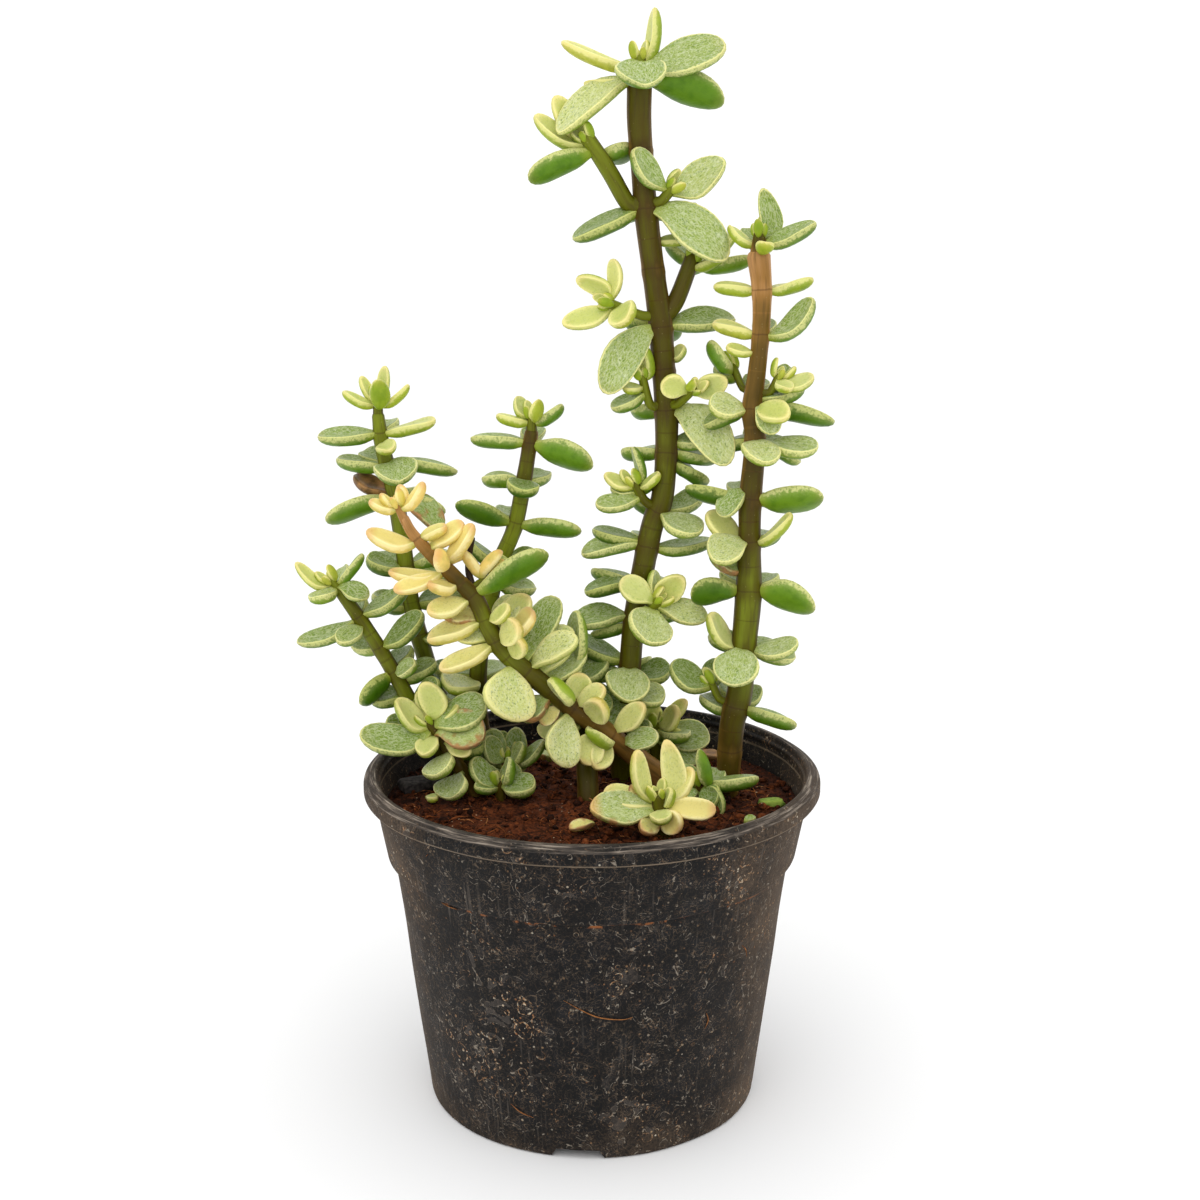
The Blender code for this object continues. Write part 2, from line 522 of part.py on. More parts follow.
def soil_profile():
    """Half section of the potting mix, which fills the pot with a small gap all round."""
    play = GAP / math.cos(math.pi / SOIL_SIDES) + SOIL_PLAY
    up_the_collar = (SOIL_EDGE_Z - COLLAR_BOTTOM_Z) / (POT_HEIGHT - LIP_HEIGHT - COLLAR_BOTTOM_Z)
    edge = COLLAR_BOTTOM_RADIUS + (COLLAR_TOP_RADIUS - COLLAR_BOTTOM_RADIUS) * up_the_collar
    low = FLOOR_TOP_Z + GAP
    return [
        (0.0, low), (BASE_RADIUS - WALL - play - 3 * EDGE, low), (BASE_RADIUS - WALL - play, low + 3 * EDGE),
        (BODY_TOP_RADIUS - WALL - play, COLLAR_BOTTOM_Z - 3 * EDGE),
        (COLLAR_BOTTOM_RADIUS - WALL - play, COLLAR_BOTTOM_Z + 3 * EDGE),
        (edge - WALL - play, SOIL_EDGE_Z),
        (CROWN_RADIUS, SOIL_EDGE_Z + 0.8 * SOIL_CROWN), (0.0, SOIL_EDGE_Z + SOIL_CROWN)]


def soil_height(radius):
    """Height of the potting mix's surface at a distance from the axis, outside its crown."""
    crown_z = SOIL_EDGE_Z + 0.8 * SOIL_CROWN
    share = (radius - CROWN_RADIUS) / (COLLAR_BOTTOM_RADIUS - CROWN_RADIUS)
    return crown_z + (SOIL_EDGE_Z - crown_z) * share


def make_soil(routes):
    """Potting mix with a socket for each rooted stem."""
    surface = material("coir_mix", (0.12, 0.05, 0.03), 0.95)
    soil = turned("potting_mix", soil_profile(), SOIL_SIDES, surface)
    for route in routes:
        foot = Vector(route[0][:3])
        above = Vector(route[1][:3])
        start = foot - (above - foot).normalized() * GAP
        end = foot + (above - foot) * SOCKET_STRETCH
        socket = tube_bmesh([(*start, route[0][3]), (*end, route[1][3])], GAP)
        boolean(soil, new_object("socket", socket), "DIFFERENCE")
    return soil


def sprig_route(stem, height, beyond):
    """Route of a twig that leaves the sleeve square to its stem."""
    middle, along, radius = route_at(stem, height)
    toward = Vector(beyond[0][:3]) - middle
    outward = (toward - along * toward.dot(along)).normalized()
    foot = middle + outward * (radius + GAP + FOOT_SHARE * RING_WALL)
    knee = middle + outward * (radius + GAP + RING_WALL + KNEE_REACH)
    thick = beyond[0][3]
    return [(*foot, thick), (*knee, thick)] + list(beyond)


def shoot_parts(route, leaves):
    """A twig and its leaves, whose feet are sunk into it."""
    core = [(x, y, z, diameter - 2 * (GAP + SHOOT_SINK)) for x, y, z, diameter in route]
    return [tube_bmesh(route)] + [leaf_bmesh(core, leaf) for leaf in leaves]


def make_plant():
    """Stems, tiers of leaves and side shoots."""
    bark = material("stem_skin", (0.20, 0.17, 0.05), 0.5)
    green = material("leaf_skin", (0.30, 0.42, 0.14), 0.45)
    made = [new_object(name, tube_bmesh(route), bark) for name, route in STEMS.items()]
    for name, (stem, leaves) in TIERS.items():
        route = STEMS[stem]
        sprigs = SPRIGS.get(name, ())
        heights = [leaf[0] for leaf in leaves] + [sprig[0] for sprig in sprigs]
        parts = [clasp_bmesh(route, min(heights), max(heights))]
        parts += [leaf_bmesh(route, leaf) for leaf in leaves]
        for height, beyond, sprig_leaves in sprigs:
            parts += shoot_parts(sprig_route(route, height, beyond), sprig_leaves)
        made.append(join_all(name, parts, green))
    for name, shoot in SHOOTS.items():
        made.append(join_all(name, shoot_parts(*shoot), green))
    return made


def make_litter():
    """A chip of bark and bits of fallen leaf that lie on the potting mix."""
    made = []
    for name, ((x, y), (length, width, height), turn) in LITTER.items():
        bm = bmesh.new()
        bmesh.ops.create_icosphere(bm, subdivisions=1, radius=0.5)  # 1 mm across, before its scale
        bmesh.ops.scale(bm, vec=(length, width, height), verts=bm.verts[:])
        middle = soil_height(math.hypot(x, y)) + GAP + height / 2
        place = Matrix.Translation((x, y, middle))
        bm.transform(place @ Matrix.Rotation(math.radians(turn), 4, "Z"))
        made.append(new_object(name, bm, material("litter", (0.2, 0.15, 0.08), 0.8)))
    return made


def centre_on_bounds(pieces):
    """Hang every piece on one empty that puts the middle of their box over the origin."""
    corners = [piece.matrix_world @ vert.co for piece in pieces for vert in piece.data.vertices]
    low = Vector([min(corner[i] for corner in corners) for i in range(3)])
    high = Vector([max(corner[i] for corner in corners) for i in range(3)])
    middle = (low + high) / 2
    root = bpy.data.objects.new("root", None)
    bpy.context.scene.collection.objects.link(root)
    root.scale = (MM, MM, MM)
    root.location = (-middle.x * MM, -middle.y * MM, -low.z * MM)
    for piece in pieces:
        piece.parent = root


def main():
    for old in list(bpy.data.objects):
        bpy.data.objects.remove(old)
    rooted = [route for route in list(STEMS.values()) + [shoot[0] for shoot in SHOOTS.values()]
              if route[0][2] <= ROOTED_Z]
    pieces = [make_pot(), make_soil(rooted)]
    pieces += make_plant()
    pieces += make_litter()
    centre_on_bounds(pieces)


main()
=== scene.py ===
"""A potted elephant bush: moulded pot, potting mix, stems and fleshy leaves, with a small stage."""
import math
import random
from functools import partial

import bmesh
import bpy
from bpy.props import FloatProperty, FloatVectorProperty, IntProperty, PointerProperty
from mathutils import Matrix, Vector, noise


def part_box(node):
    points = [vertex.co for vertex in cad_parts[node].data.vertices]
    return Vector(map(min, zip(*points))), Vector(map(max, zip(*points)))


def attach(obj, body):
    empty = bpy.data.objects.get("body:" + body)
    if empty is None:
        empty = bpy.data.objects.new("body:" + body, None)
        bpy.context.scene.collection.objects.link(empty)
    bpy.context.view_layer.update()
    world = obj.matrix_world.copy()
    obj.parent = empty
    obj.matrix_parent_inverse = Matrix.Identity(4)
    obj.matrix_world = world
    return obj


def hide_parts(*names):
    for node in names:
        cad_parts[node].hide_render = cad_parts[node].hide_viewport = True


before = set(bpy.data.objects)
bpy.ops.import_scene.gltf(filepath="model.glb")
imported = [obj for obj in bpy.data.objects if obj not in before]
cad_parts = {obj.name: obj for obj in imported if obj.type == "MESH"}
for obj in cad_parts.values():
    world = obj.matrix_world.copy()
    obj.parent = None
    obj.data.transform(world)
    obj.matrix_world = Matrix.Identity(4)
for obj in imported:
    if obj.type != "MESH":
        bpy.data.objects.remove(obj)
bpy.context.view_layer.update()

bl_info = {
    "name": "Potted Elephant Bush",
    "version": (1, 0, 0),
    "blender": (4, 5, 0),
    "location": "3D View > Sidebar > Elephant Bush",
    "description": "Builds the pot, potting mix, stems and leaves of a potted elephant bush",
    "category": "Object",
}

POT_LOW, POT_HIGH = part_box("pot")
MIX_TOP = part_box("potting_mix")[1].z
AXIS = Vector(((POT_LOW.x + POT_HIGH.x) / 2, (POT_LOW.y + POT_HIGH.y) / 2, 0.0))
MM = 0.001
UP = Vector((0, 0, 1))
FRONT = Vector((0, -1, 0))
# Directions whose share to the front is more than this are nearly along it.
NEARLY_FRONT = 0.9

# ---- the plant, in millimetres round the pot's axis, as the frame's pieces were laid out ------
# Stems: (x, y, z, diameter) from the buried end to the top, and how brown the skin is on the way.
STEMS = {
    "tall_stem": ((
        (9, 18, 76, 7.0), (9, 17, 89, 7.0), (9, 15, 104, 6.6), (11, 14, 122, 6.4),
        (12, 14, 134, 6.4), (14, 14, 147, 6.6), (17, 14, 163, 6.4), (20, 14, 172, 6.4),
        (21, 14, 184, 6.3), (21, 14, 197, 6.8), (20, 14, 210, 6.6), (19, 14, 222, 6.8),
        (17, 14, 236, 6.3), (15, 14, 251, 6.6), (14, 14, 262, 6.3), (13, 14, 275, 6.7),
        (13, 14, 284, 6.9)), (0.35, 0.25, 0.32, 0.28, 0.42, 0.50, 0.45)),
    "right_stem": ((
        (38, 4, 76, 6.6), (39, 3, 89, 6.6), (40, 2, 108, 7.2), (42, 2, 118, 7.4),
        (43, 2, 132, 7.2), (44, 2, 147, 7.4), (44, 2, 163, 6.2), (44, 2, 174, 6.4),
        (45, 2, 190, 6.0), (44, 2, 199, 5.6), (45, 2, 208, 5.0), (46, 2, 220, 4.8),
        (46, 2, 231, 5.4), (45, 2, 240, 6.4)), (0.8, 0.55, 0.2, 0.12, 0.45, 0.65, 0.80, 1.35)),
    "back_left_stem": ((
        (-38, 24, 76, 5.6), (-39, 24, 89, 5.6), (-44, 24, 106, 5.4), (-49, 24, 122, 5.2),
        (-53, 24, 140, 5.0), (-55, 24, 158, 4.9), (-57, 24, 172, 4.8), (-60, 24, 185, 4.4),
        (-61, 24, 194, 3.6)), (0.6, 0.3, 0.1, 0.0, 0.0, -0.1)),
    "middle_stem": ((
        (-29, 21, 76, 5.4), (-30, 20, 89, 5.4), (-33, 19, 104, 5.2), (-33, 18, 122, 5.2),
        (-30, 18, 138, 5.0), (-27, 18, 151, 4.8), (-22, 18, 163, 4.6), (-19, 18, 178, 4.6),
        (-17, 18, 190, 4.0)), (0.8, 0.5, 0.1, 0.0, 0.0, 0.55)),
    "leaning_stem": ((
        (-40, 18, 76, 5.0), (-41, 18, 89, 5.0), (-45, 15, 98, 4.8), (-51, 11, 110, 4.6),
        (-57, 10, 122, 4.4), (-62, 10, 131, 4.2), (-67, 10, 139, 4.0), (-71, 10, 145, 3.6)),
        (0.5, 0.1, 0.2)),
    # The yellow stem's second brownness is raised so that its lower stretch is painted lighter: painted
    # light against the shade there.
    "yellow_stem": ((
        (23, 9, 76, 6.4), (20, 8, 90, 6.4), (14, 5, 97, 6.2), (8, 2, 103, 6.0),
        (2, -1, 109, 6.0), (-4, -3, 114, 5.8), (-12, -4, 121, 5.6), (-20, -5, 128, 5.4),
        (-25, -5, 133, 5.2), (-29, -5, 140, 5.0), (-32, -5, 147, 4.8), (-38, -6, 154, 4.2),
        (-44, -6, 160, 3.6), (-49, -6, 166, 3.0), (-51, -6, 170, 2.6)),
        (0.95, 1.1, 0.95, 0.5, 0.18, 0.22, 0.80, 1.40)),
    # The low stem's skin is browned and darkened as painted shade, for the leaves that hang over it.
    "low_stem": ((
        (-1, -4, 76, 6.2), (-1, -1, 89, 6.2), (-2, 5, 100, 6.0), (-5, 9, 112, 5.4),
        (-12, 12, 130, 4.2)), (0.7, 0.35, 0.5)),
}

# Leaves: (height on the stem, (dx, dy, dz) of the tip from the stem's middle, width, how far the
# upper face turns to the front in degrees, kind).  Kinds are described in LEAF_KINDS.  Each tier
# has the leaves that stand at its stem's nodes, then those that fill in between and behind them.
TIERS = {
    "tall_leaves_1": (
        ((122, (-1, -14, -6), 13, 0, "f"), (122, (3, 15, -3), 11, 0, "d")),
        ((124, (-17, 6, 6), 10, 10, "d"), (120, (-19, 1, 2), 9, 20, "m"), (118, (12, 5, 4), 9, 10, "d"),
         (116, (10, -8, -2), 9, 30, "p"), (112, (-11, -8, 4), 9, 40, "d"),
         (110, (6, 10, 6), 9, 10, "m"), (106, (-14, 6, 3), 9, 10, "d"), (104, (8, -9, 2), 7, 40, "m"))),
    "tall_leaves_2": (
        ((137, (-18, -3, -1), 9, 25, "m"), (137, (15, 8, 1), 8, 0, "m"),
         (147, (-16, -3, -2), 8, 10, "d"), (147, (-14, 8, 2), 8, 0, "m"),
         (147, (9, 12, -2), 9, 0, "m")),
        ((140, (12, 9, -4), 9, 0, "d"), (134, (-12, 4, -3), 8, 10, "d"))),
    "tall_leaves_3": (
        ((158, (-19, -2, -2), 8, 15, "m"), (158, (19, 4, 1), 8, 10, "m")),
        ((158, (-2, 15, 1), 8, 0, "m"), (159, (-16, 5, 3), 8, 10, "d"))),
    "tall_leaves_4": (
        ((168, (11, -12, -4), 11, 20, "f"), (168, (-4, 15, 0), 10, 0, "m")),
        ((169, (13, 8, 4), 8, 10, "m"),)),
    "tall_leaves_5": (
        ((185, (15, 7, -3), 8, 10, "m"), (185, (-12, 9, -2), 8, 0, "m")),
        ((185, (2, 14, 1), 8, 0, "d"), (188, (15, 2, 2), 8, 20, "m"), (182, (12, 5, -7), 8, 10, "d"))),
    "tall_leaves_6": (
        ((197, (17.5, -12, -13), 12, 60, "f"), (197, (-8, 12, -2), 9, 0, "m")),
        ((197, (12, 8, -3), 9, 10, "m"), (196, (15, 6, -9), 9, 20, "d"))),
    "tall_leaves_7": (
        ((220, (-16, -9, -17), 11, 70, "m"), (220, (21, 3, 2), 9, 30, "m"),
         (220, (3, 14, -4), 9, 0, "m")),
        ((211, (6, 1, 4), 5, 30, "y"), (221, (-8, 11, -1), 8, 0, "d"))),
    "tall_leaves_8": (
        ((252, (-20, -2, -8), 9, 20, "d"), (252, (22, -8, -13), 12, 60, "m"),
         (252, (14, 11, -4), 9, 0, "m")),
        ((251, (14, 5, 2), 7, 10, "d"), (243, (12, 4, 1), 5, 20, "y"), (252, (-6, 13, -2), 9, 0, "m"))),
    "right_leaves_1": (
        ((114, (17, -3, -5), 8, -10, "m"), (114, (7, 8, 4), 6, 0, "m")),
        ((115, (-2, 13, 2), 8, 0, "d"), (112, (-9, 8, 3), 8, 10, "m"))),
    "right_leaves_2": (
        ((131, (-5, -13, -7), 13, 0, "p"), (131, (-10, -3, 11), 8, 40, "y"),
         (131, (15, -4, 3), 8, 25, "p"), (131, (11, 9, -1), 8, 0, "m")),
        ((131, (15, 3, -3), 9, 20, "m"), (131, (-9, 8, 2), 8, 10, "d"))),
    "right_leaves_3": (
        ((148, (18.5, -3, -5), 12.5, -50, "m"), (148, (-16, 2, -3), 10, -35, "d"),
         (148, (-6, 12, 3), 8, 0, "m")),
        ((153, (-11, -2, 7), 7, 40, "g"), (148, (8, 11, 2), 8, 0, "m"))),
    "right_leaves_4": (
        ((162, (-11, -10, -3), 11, 25, "p"), (162, (-12, 1, 8), 8, 40, "y"),
         (162, (11, -6, 9), 6, 20, "y"), (162, (8, 12, 0), 9, 0, "m")), ()),
    "right_leaves_5": (
        ((174, (-18, 2, 3), 9, -20, "d"), (174, (20, -3, 1), 12.5, -32, "m"),
         (174, (-3, 14, 2), 9, 0, "m")),
        ((176, (-9, -4, -6), 7, 30, "m"), (174, (12, 9, -3), 8, 0, "d"))),
    "right_leaves_6": (
        ((190, (2, -13, -4), 11, 0, "p"), (190, (17, -4, -1), 9, 20, "p"),
         (190, (3, 13, 0), 9, 0, "m")),
        ((190, (13, 4, -6), 9, 20, "m"), (190, (-9, 9, -3), 8, 10, "d"))),
    "right_leaves_7": (
        ((199, (23, 2, -4), 10, -15, "d"), (199, (-12, -4, 2), 9, 40, "p"),
         (199, (9, -10, -1), 8, 30, "y")),
        ((202, (14, 1, 3), 8, 20, "m"), (199, (-13, 3, -5), 8, 10, "d"), (203, (2, 12, 3), 8, 0, "m"),
         (200, (6, -6, -7), 7, 40, "p"))),
    "right_leaves_8": (
        ((219, (14, -2, 10), 8, 30, "m"), (219, (-13, 3, 3), 7, 0, "y")),
        ((219, (2, 13, 3), 7, 0, "m"), (214, (-9, -3, 2), 5, 20, "y"))),
    "right_leaves_9": (
        ((231, (-13, 2, 1), 7, 0, "y"), (231, (14, 1, 3), 7, 0, "y")), ()),
    "back_left_leaves_1": (
        ((150, (-11, -4, 3), 9, 20, "d"), (150, (11, 8, 3), 9, 0, "m")),
        ((147, (13, -5, -1), 8, 15, "d"), (150, (-8, 10, 2), 9, 0, "d"), (138, (-12, 3, 3), 9, 10, "m"),
         (138, (11, 6, 4), 9, 10, "d"), (128, (9, -6, 3), 8, 20, "d"))),
    "back_left_leaves_2": (
        ((170, (-20, -3, -6), 10, -30, "m"), (170, (14, 3, -5), 8, 0, "p"),
         (170, (2, 14, 0), 9, 0, "m")),
        ((170, (14, -6, -8), 8, 30, "g"), (172, (-12, 6, 4), 8, 10, "r"))),
    "back_left_leaves_3": (
        ((180, (5, -13, -3), 13, 0, "p"), (180, (-15, 4, 1), 8, 0, "m"), (180, (20, 4, -3), 8, 0, "m")),
        ((180, (-8, 11, 2), 8, 0, "m"),)),
    "back_left_leaves_4": (
        ((189, (-18, -1, -1), 8, 15, "m"), (189, (16, -1, 4), 7.5, 0, "y")),
        ((189, (2, 12, 2), 7, 0, "m"), (186, (3, -8, -1), 6, 20, "y"))),
    "middle_leaves_1": (
        ((117, (-8, -14, 2), 12, 10, "f"), (117, (6, 13, 2), 10, 0, "m")),
        ((118, (-14, 2, 3), 9, 10, "d"), (112, (8, -8, 4), 9, 20, "m"), (108, (-9, 9, 3), 9, 0, "d"))),
    "middle_leaves_2": (
        ((152, (-10, 3, 7), 8, 0, "d"), (152, (4, -12, 3), 9, 0, "d")),
        ((150, (11, 5, 5), 9, 10, "d"), (146, (12, 3, -2), 8, 10, "m"), (140, (-11, 5, 4), 8, 10, "m"),
         (134, (10, 8, 5), 9, 10, "d"))),
    "middle_leaves_3": (
        ((164, (-17, -2, 6), 8, -45, "d"), (164, (19, -2, -2), 8, -30, "m")),
        ((164, (-3, 13, 2), 8, 0, "m"),)),
    "middle_leaves_4": (
        ((176, (1, -11, -1), 9.5, -25, "d"), (176, (-12, 4, 0), 8, 0, "m"),
         (176, (6, 11, 1), 8, 0, "m")), ()),
    "middle_leaves_5": (
        ((187, (-17, 2, 1), 8, 0, "m"), (187, (18, -4, -6), 11, -45, "m")),
        ((187, (2, 12, 3), 7, 0, "m"),)),
    "leaning_leaves_1": (
        ((122, (-9, -6, -8), 10, -30, "d"), (122, (7, -6, 4), 6, 30, "m"), (122, (2, 12, 4), 9, 0, "d"),
         (129, (13, -2, 11), 8.5, 30, "d"), (129, (-8, 10, 3), 9, 0, "m")),
        ((115, (-11, 3, 0), 9, 10, "d"), (113, (9, -5, 7), 8, 30, "d"), (108, (-9, -5, -2), 9, 40, "d"),
         (118, (10, 4, 6), 8, 10, "m"), (104, (10, 4, 5), 8, 20, "m"))),
    "leaning_leaves_2": (
        ((138, (14, 2, 8), 8, 20, "m"), (138, (-18, -1, -7), 7, 20, "m")),
        ((136, (-6, -9, -3), 7, 40, "m"), (138, (-2, 11, 3), 7, 0, "m"))),
    "yellow_leaves_1": (
        ((106, (10, -3, 10), 7, 40, "w"), (106, (-4, -9, -7), 7, 70, "w"),
         (115, (-2, -8, -15), 10.5, 90, "h"), (115, (9, -3, 7), 6.5, 40, "w"),
         (115, (2, 2, 10), 8, 70, "w")),
        ((118, (-2, -8, 7), 9, 75, "f"), (112, (4, -8, 7), 8.5, 70, "w"),
         (106, (-6, -7, 4), 7.5, 60, "f"), (109, (-4, -7, -9), 9, 60, "w"),
         (112, (-14, 4, -5), 7, 40, "y"), (114, (-11, 7, -1), 7, 40, "g"), (106, (6, 8, 6), 8, 30, "m"),
         (103, (11, -6, 4), 7, 20, "m"), (102, (-6, 9, 2), 8, 20, "d"))),
    "yellow_leaves_2": (
        ((129, (1, -8, -15), 15.5, 90, "h"), (126, (14, -4, 11), 9, 25, "f"),
         (126, (3, 10, 4), 8, 0, "m")),
        ((131, (4, -8, 6), 7, 65, "w"), (124, (9, 9, 13), 11, 60, "f"),
         (128, (10, 12, 17), 10, 50, "m"), (121, (9, 11, 9), 11, 50, "f"),
         (122, (-6, 9, 6), 10, 40, "m"), (120, (-9, -3, -7), 8, 40, "g"),
         (117, (-7, -1, -6), 5, 60, "o"))),
    "yellow_leaves_3": (
        ((135, (-16, -4, -7), 7, 25, "w"), (135, (6, -7, 7), 8, 60, "w"), (135, (10, 1, 9), 8, 20, "c"),
         (141, (-16, -3, -5), 8, 25, "w"), (141, (-11, 7, -2), 6, 0, "w")),
        ((137, (-13, 5, 4), 9, 40, "f"), (142, (-12, 3, 1), 7, 30, "o"), (136, (9, 6, 11), 9, 50, "w"),
         (138, (6, 9, 8), 9, 40, "f"), (133, (-9, 8, 4), 9, 30, "m"), (141, (7, -5, 5), 6, 40, "y"))),
    "yellow_leaves_4": (
        ((148, (21, -3, 13), 11, -35, "m"), (148, (-12, -6, -3), 7, 40, "w")),
        ((149, (-9, 7, 2), 7, 20, "m"), (152, (-8, -6, 1), 6, 40, "c"))),
    "yellow_leaves_5": (
        ((156, (-16, 1, -1), 5.5, 10, "c"), (156, (-14, -5, -5), 5.5, 40, "c"),
         (157, (9, -3, 12), 6, 30, "c"), (157, (-1, -8, 5), 6, 40, "c"), (157, (6, 7, 2), 5, 0, "c"),
         (164, (-14, -2, 3), 6.5, 30, "c"), (164, (8, -1, 4), 5, 20, "c")),
        ((160, (2, 7, 6), 5, 20, "c"), (161, (10, 0, 8), 6, 40, "c"))),
    "low_leaves": (
        ((124, (6, -6, 17), 11, 60, "p"), (124, (3, -12, -3), 12, 10, "p"),
         (124, (-5, 13, 2), 11, 0, "m")),
        ((122, (-9, -7, 6), 11, 50, "f"), (118, (12, 4, 6), 10, 30, "m"),
         (112, (11, -5, 1), 9, 40, "d"), (108, (-10, 5, 4), 9, 20, "m"),
         (127, (-3, 4, 9), 9, 40, "m"))),
}

# Twigs that grow from a tier: foot height on its stem, route beyond it, leaves.
SPRIGS = {
    "tall_leaves_2": (
        (139, ((17, 7, 142, 3.2), (19, 6, 144, 3.0)), (
            (143, (-10, -1, 7), 8, 30, "y"), (143, (8, -1, 8), 8, 30, "y"), (143, (0, 4, 9), 5, 0, "p"),
            (142, (-1, -14, -7), 14, 0, "f"), (143, (15, 0, -4), 8, 20, "p"))),),
    "tall_leaves_6": (
        (199, ((14, 11, 207, 2.6),), (
            (206, (0, -1, 10), 4, 0, "y"), (204, (-6, -4, 0), 5, 20, "y"),
            (202, (-10, -2, -4), 7, 10, "m"))),
        (199, ((28, 5, 204, 2.6),), (
            (203, (-8, -3, 3), 7, 50, "y"), (203, (10, -3, 4), 7, 40, "y")))),
    "tall_leaves_7": (
        (224, ((5, 9, 227, 2.8),), (
            (227, (-9, -1, 7), 6, 20, "y"), (227, (1, 2, 12), 5, 30, "y"),
            (226.6, (-14, -2, -5), 7, 30, "y"), (226, (2, -10, -3), 9, 30, "y"))),),
    "tall_leaves_8": (
        (254, ((5, 12, 262, 4.7), (-1, 11, 271, 4.2)), (
            (268, (-18, -2, -8), 8.5, -40, "m"), (270, (-15, 3, 7), 7, 0, "y"),
            (271, (-9, 4, 11), 7, -10, "y"), (266, (8, 10, 0), 9, 0, "m"))),
        (254, ((22, 11, 258, 3.0),), (
            (257, (-10, -4, 11), 8, 30, "m"), (257, (15, -2, 8), 9.5, 50, "p")))),
    "right_leaves_1": (
        (115, ((34, 4, 121, 2.4),), (
            (120, (-12, 1, 6), 10, 40, "d"), (120, (0, 9, 5), 7, 0, "d"))),),
    "right_leaves_7": (
        (204, ((39, 8, 210, 2.2),), (
            (209, (-7, 1, 8), 8, 50, "m"), (208, (-5, 7, 1), 7, 0, "m"))),
        (204, ((51, 1, 208, 2.2),), (
            (207, (10, -2, 1), 6, 40, "y"), (207, (3, -6, -2), 5, 30, "y"),
            (207, (4, 6, 3), 5, 0, "m")))),
    "yellow_leaves_4": (
        (149, ((-27, -2, 153, 2.0),), (
            (152, (-6, 2, 8), 5, 20, "c"), (152, (5, 2, 8), 5, 20, "c"))),),
}

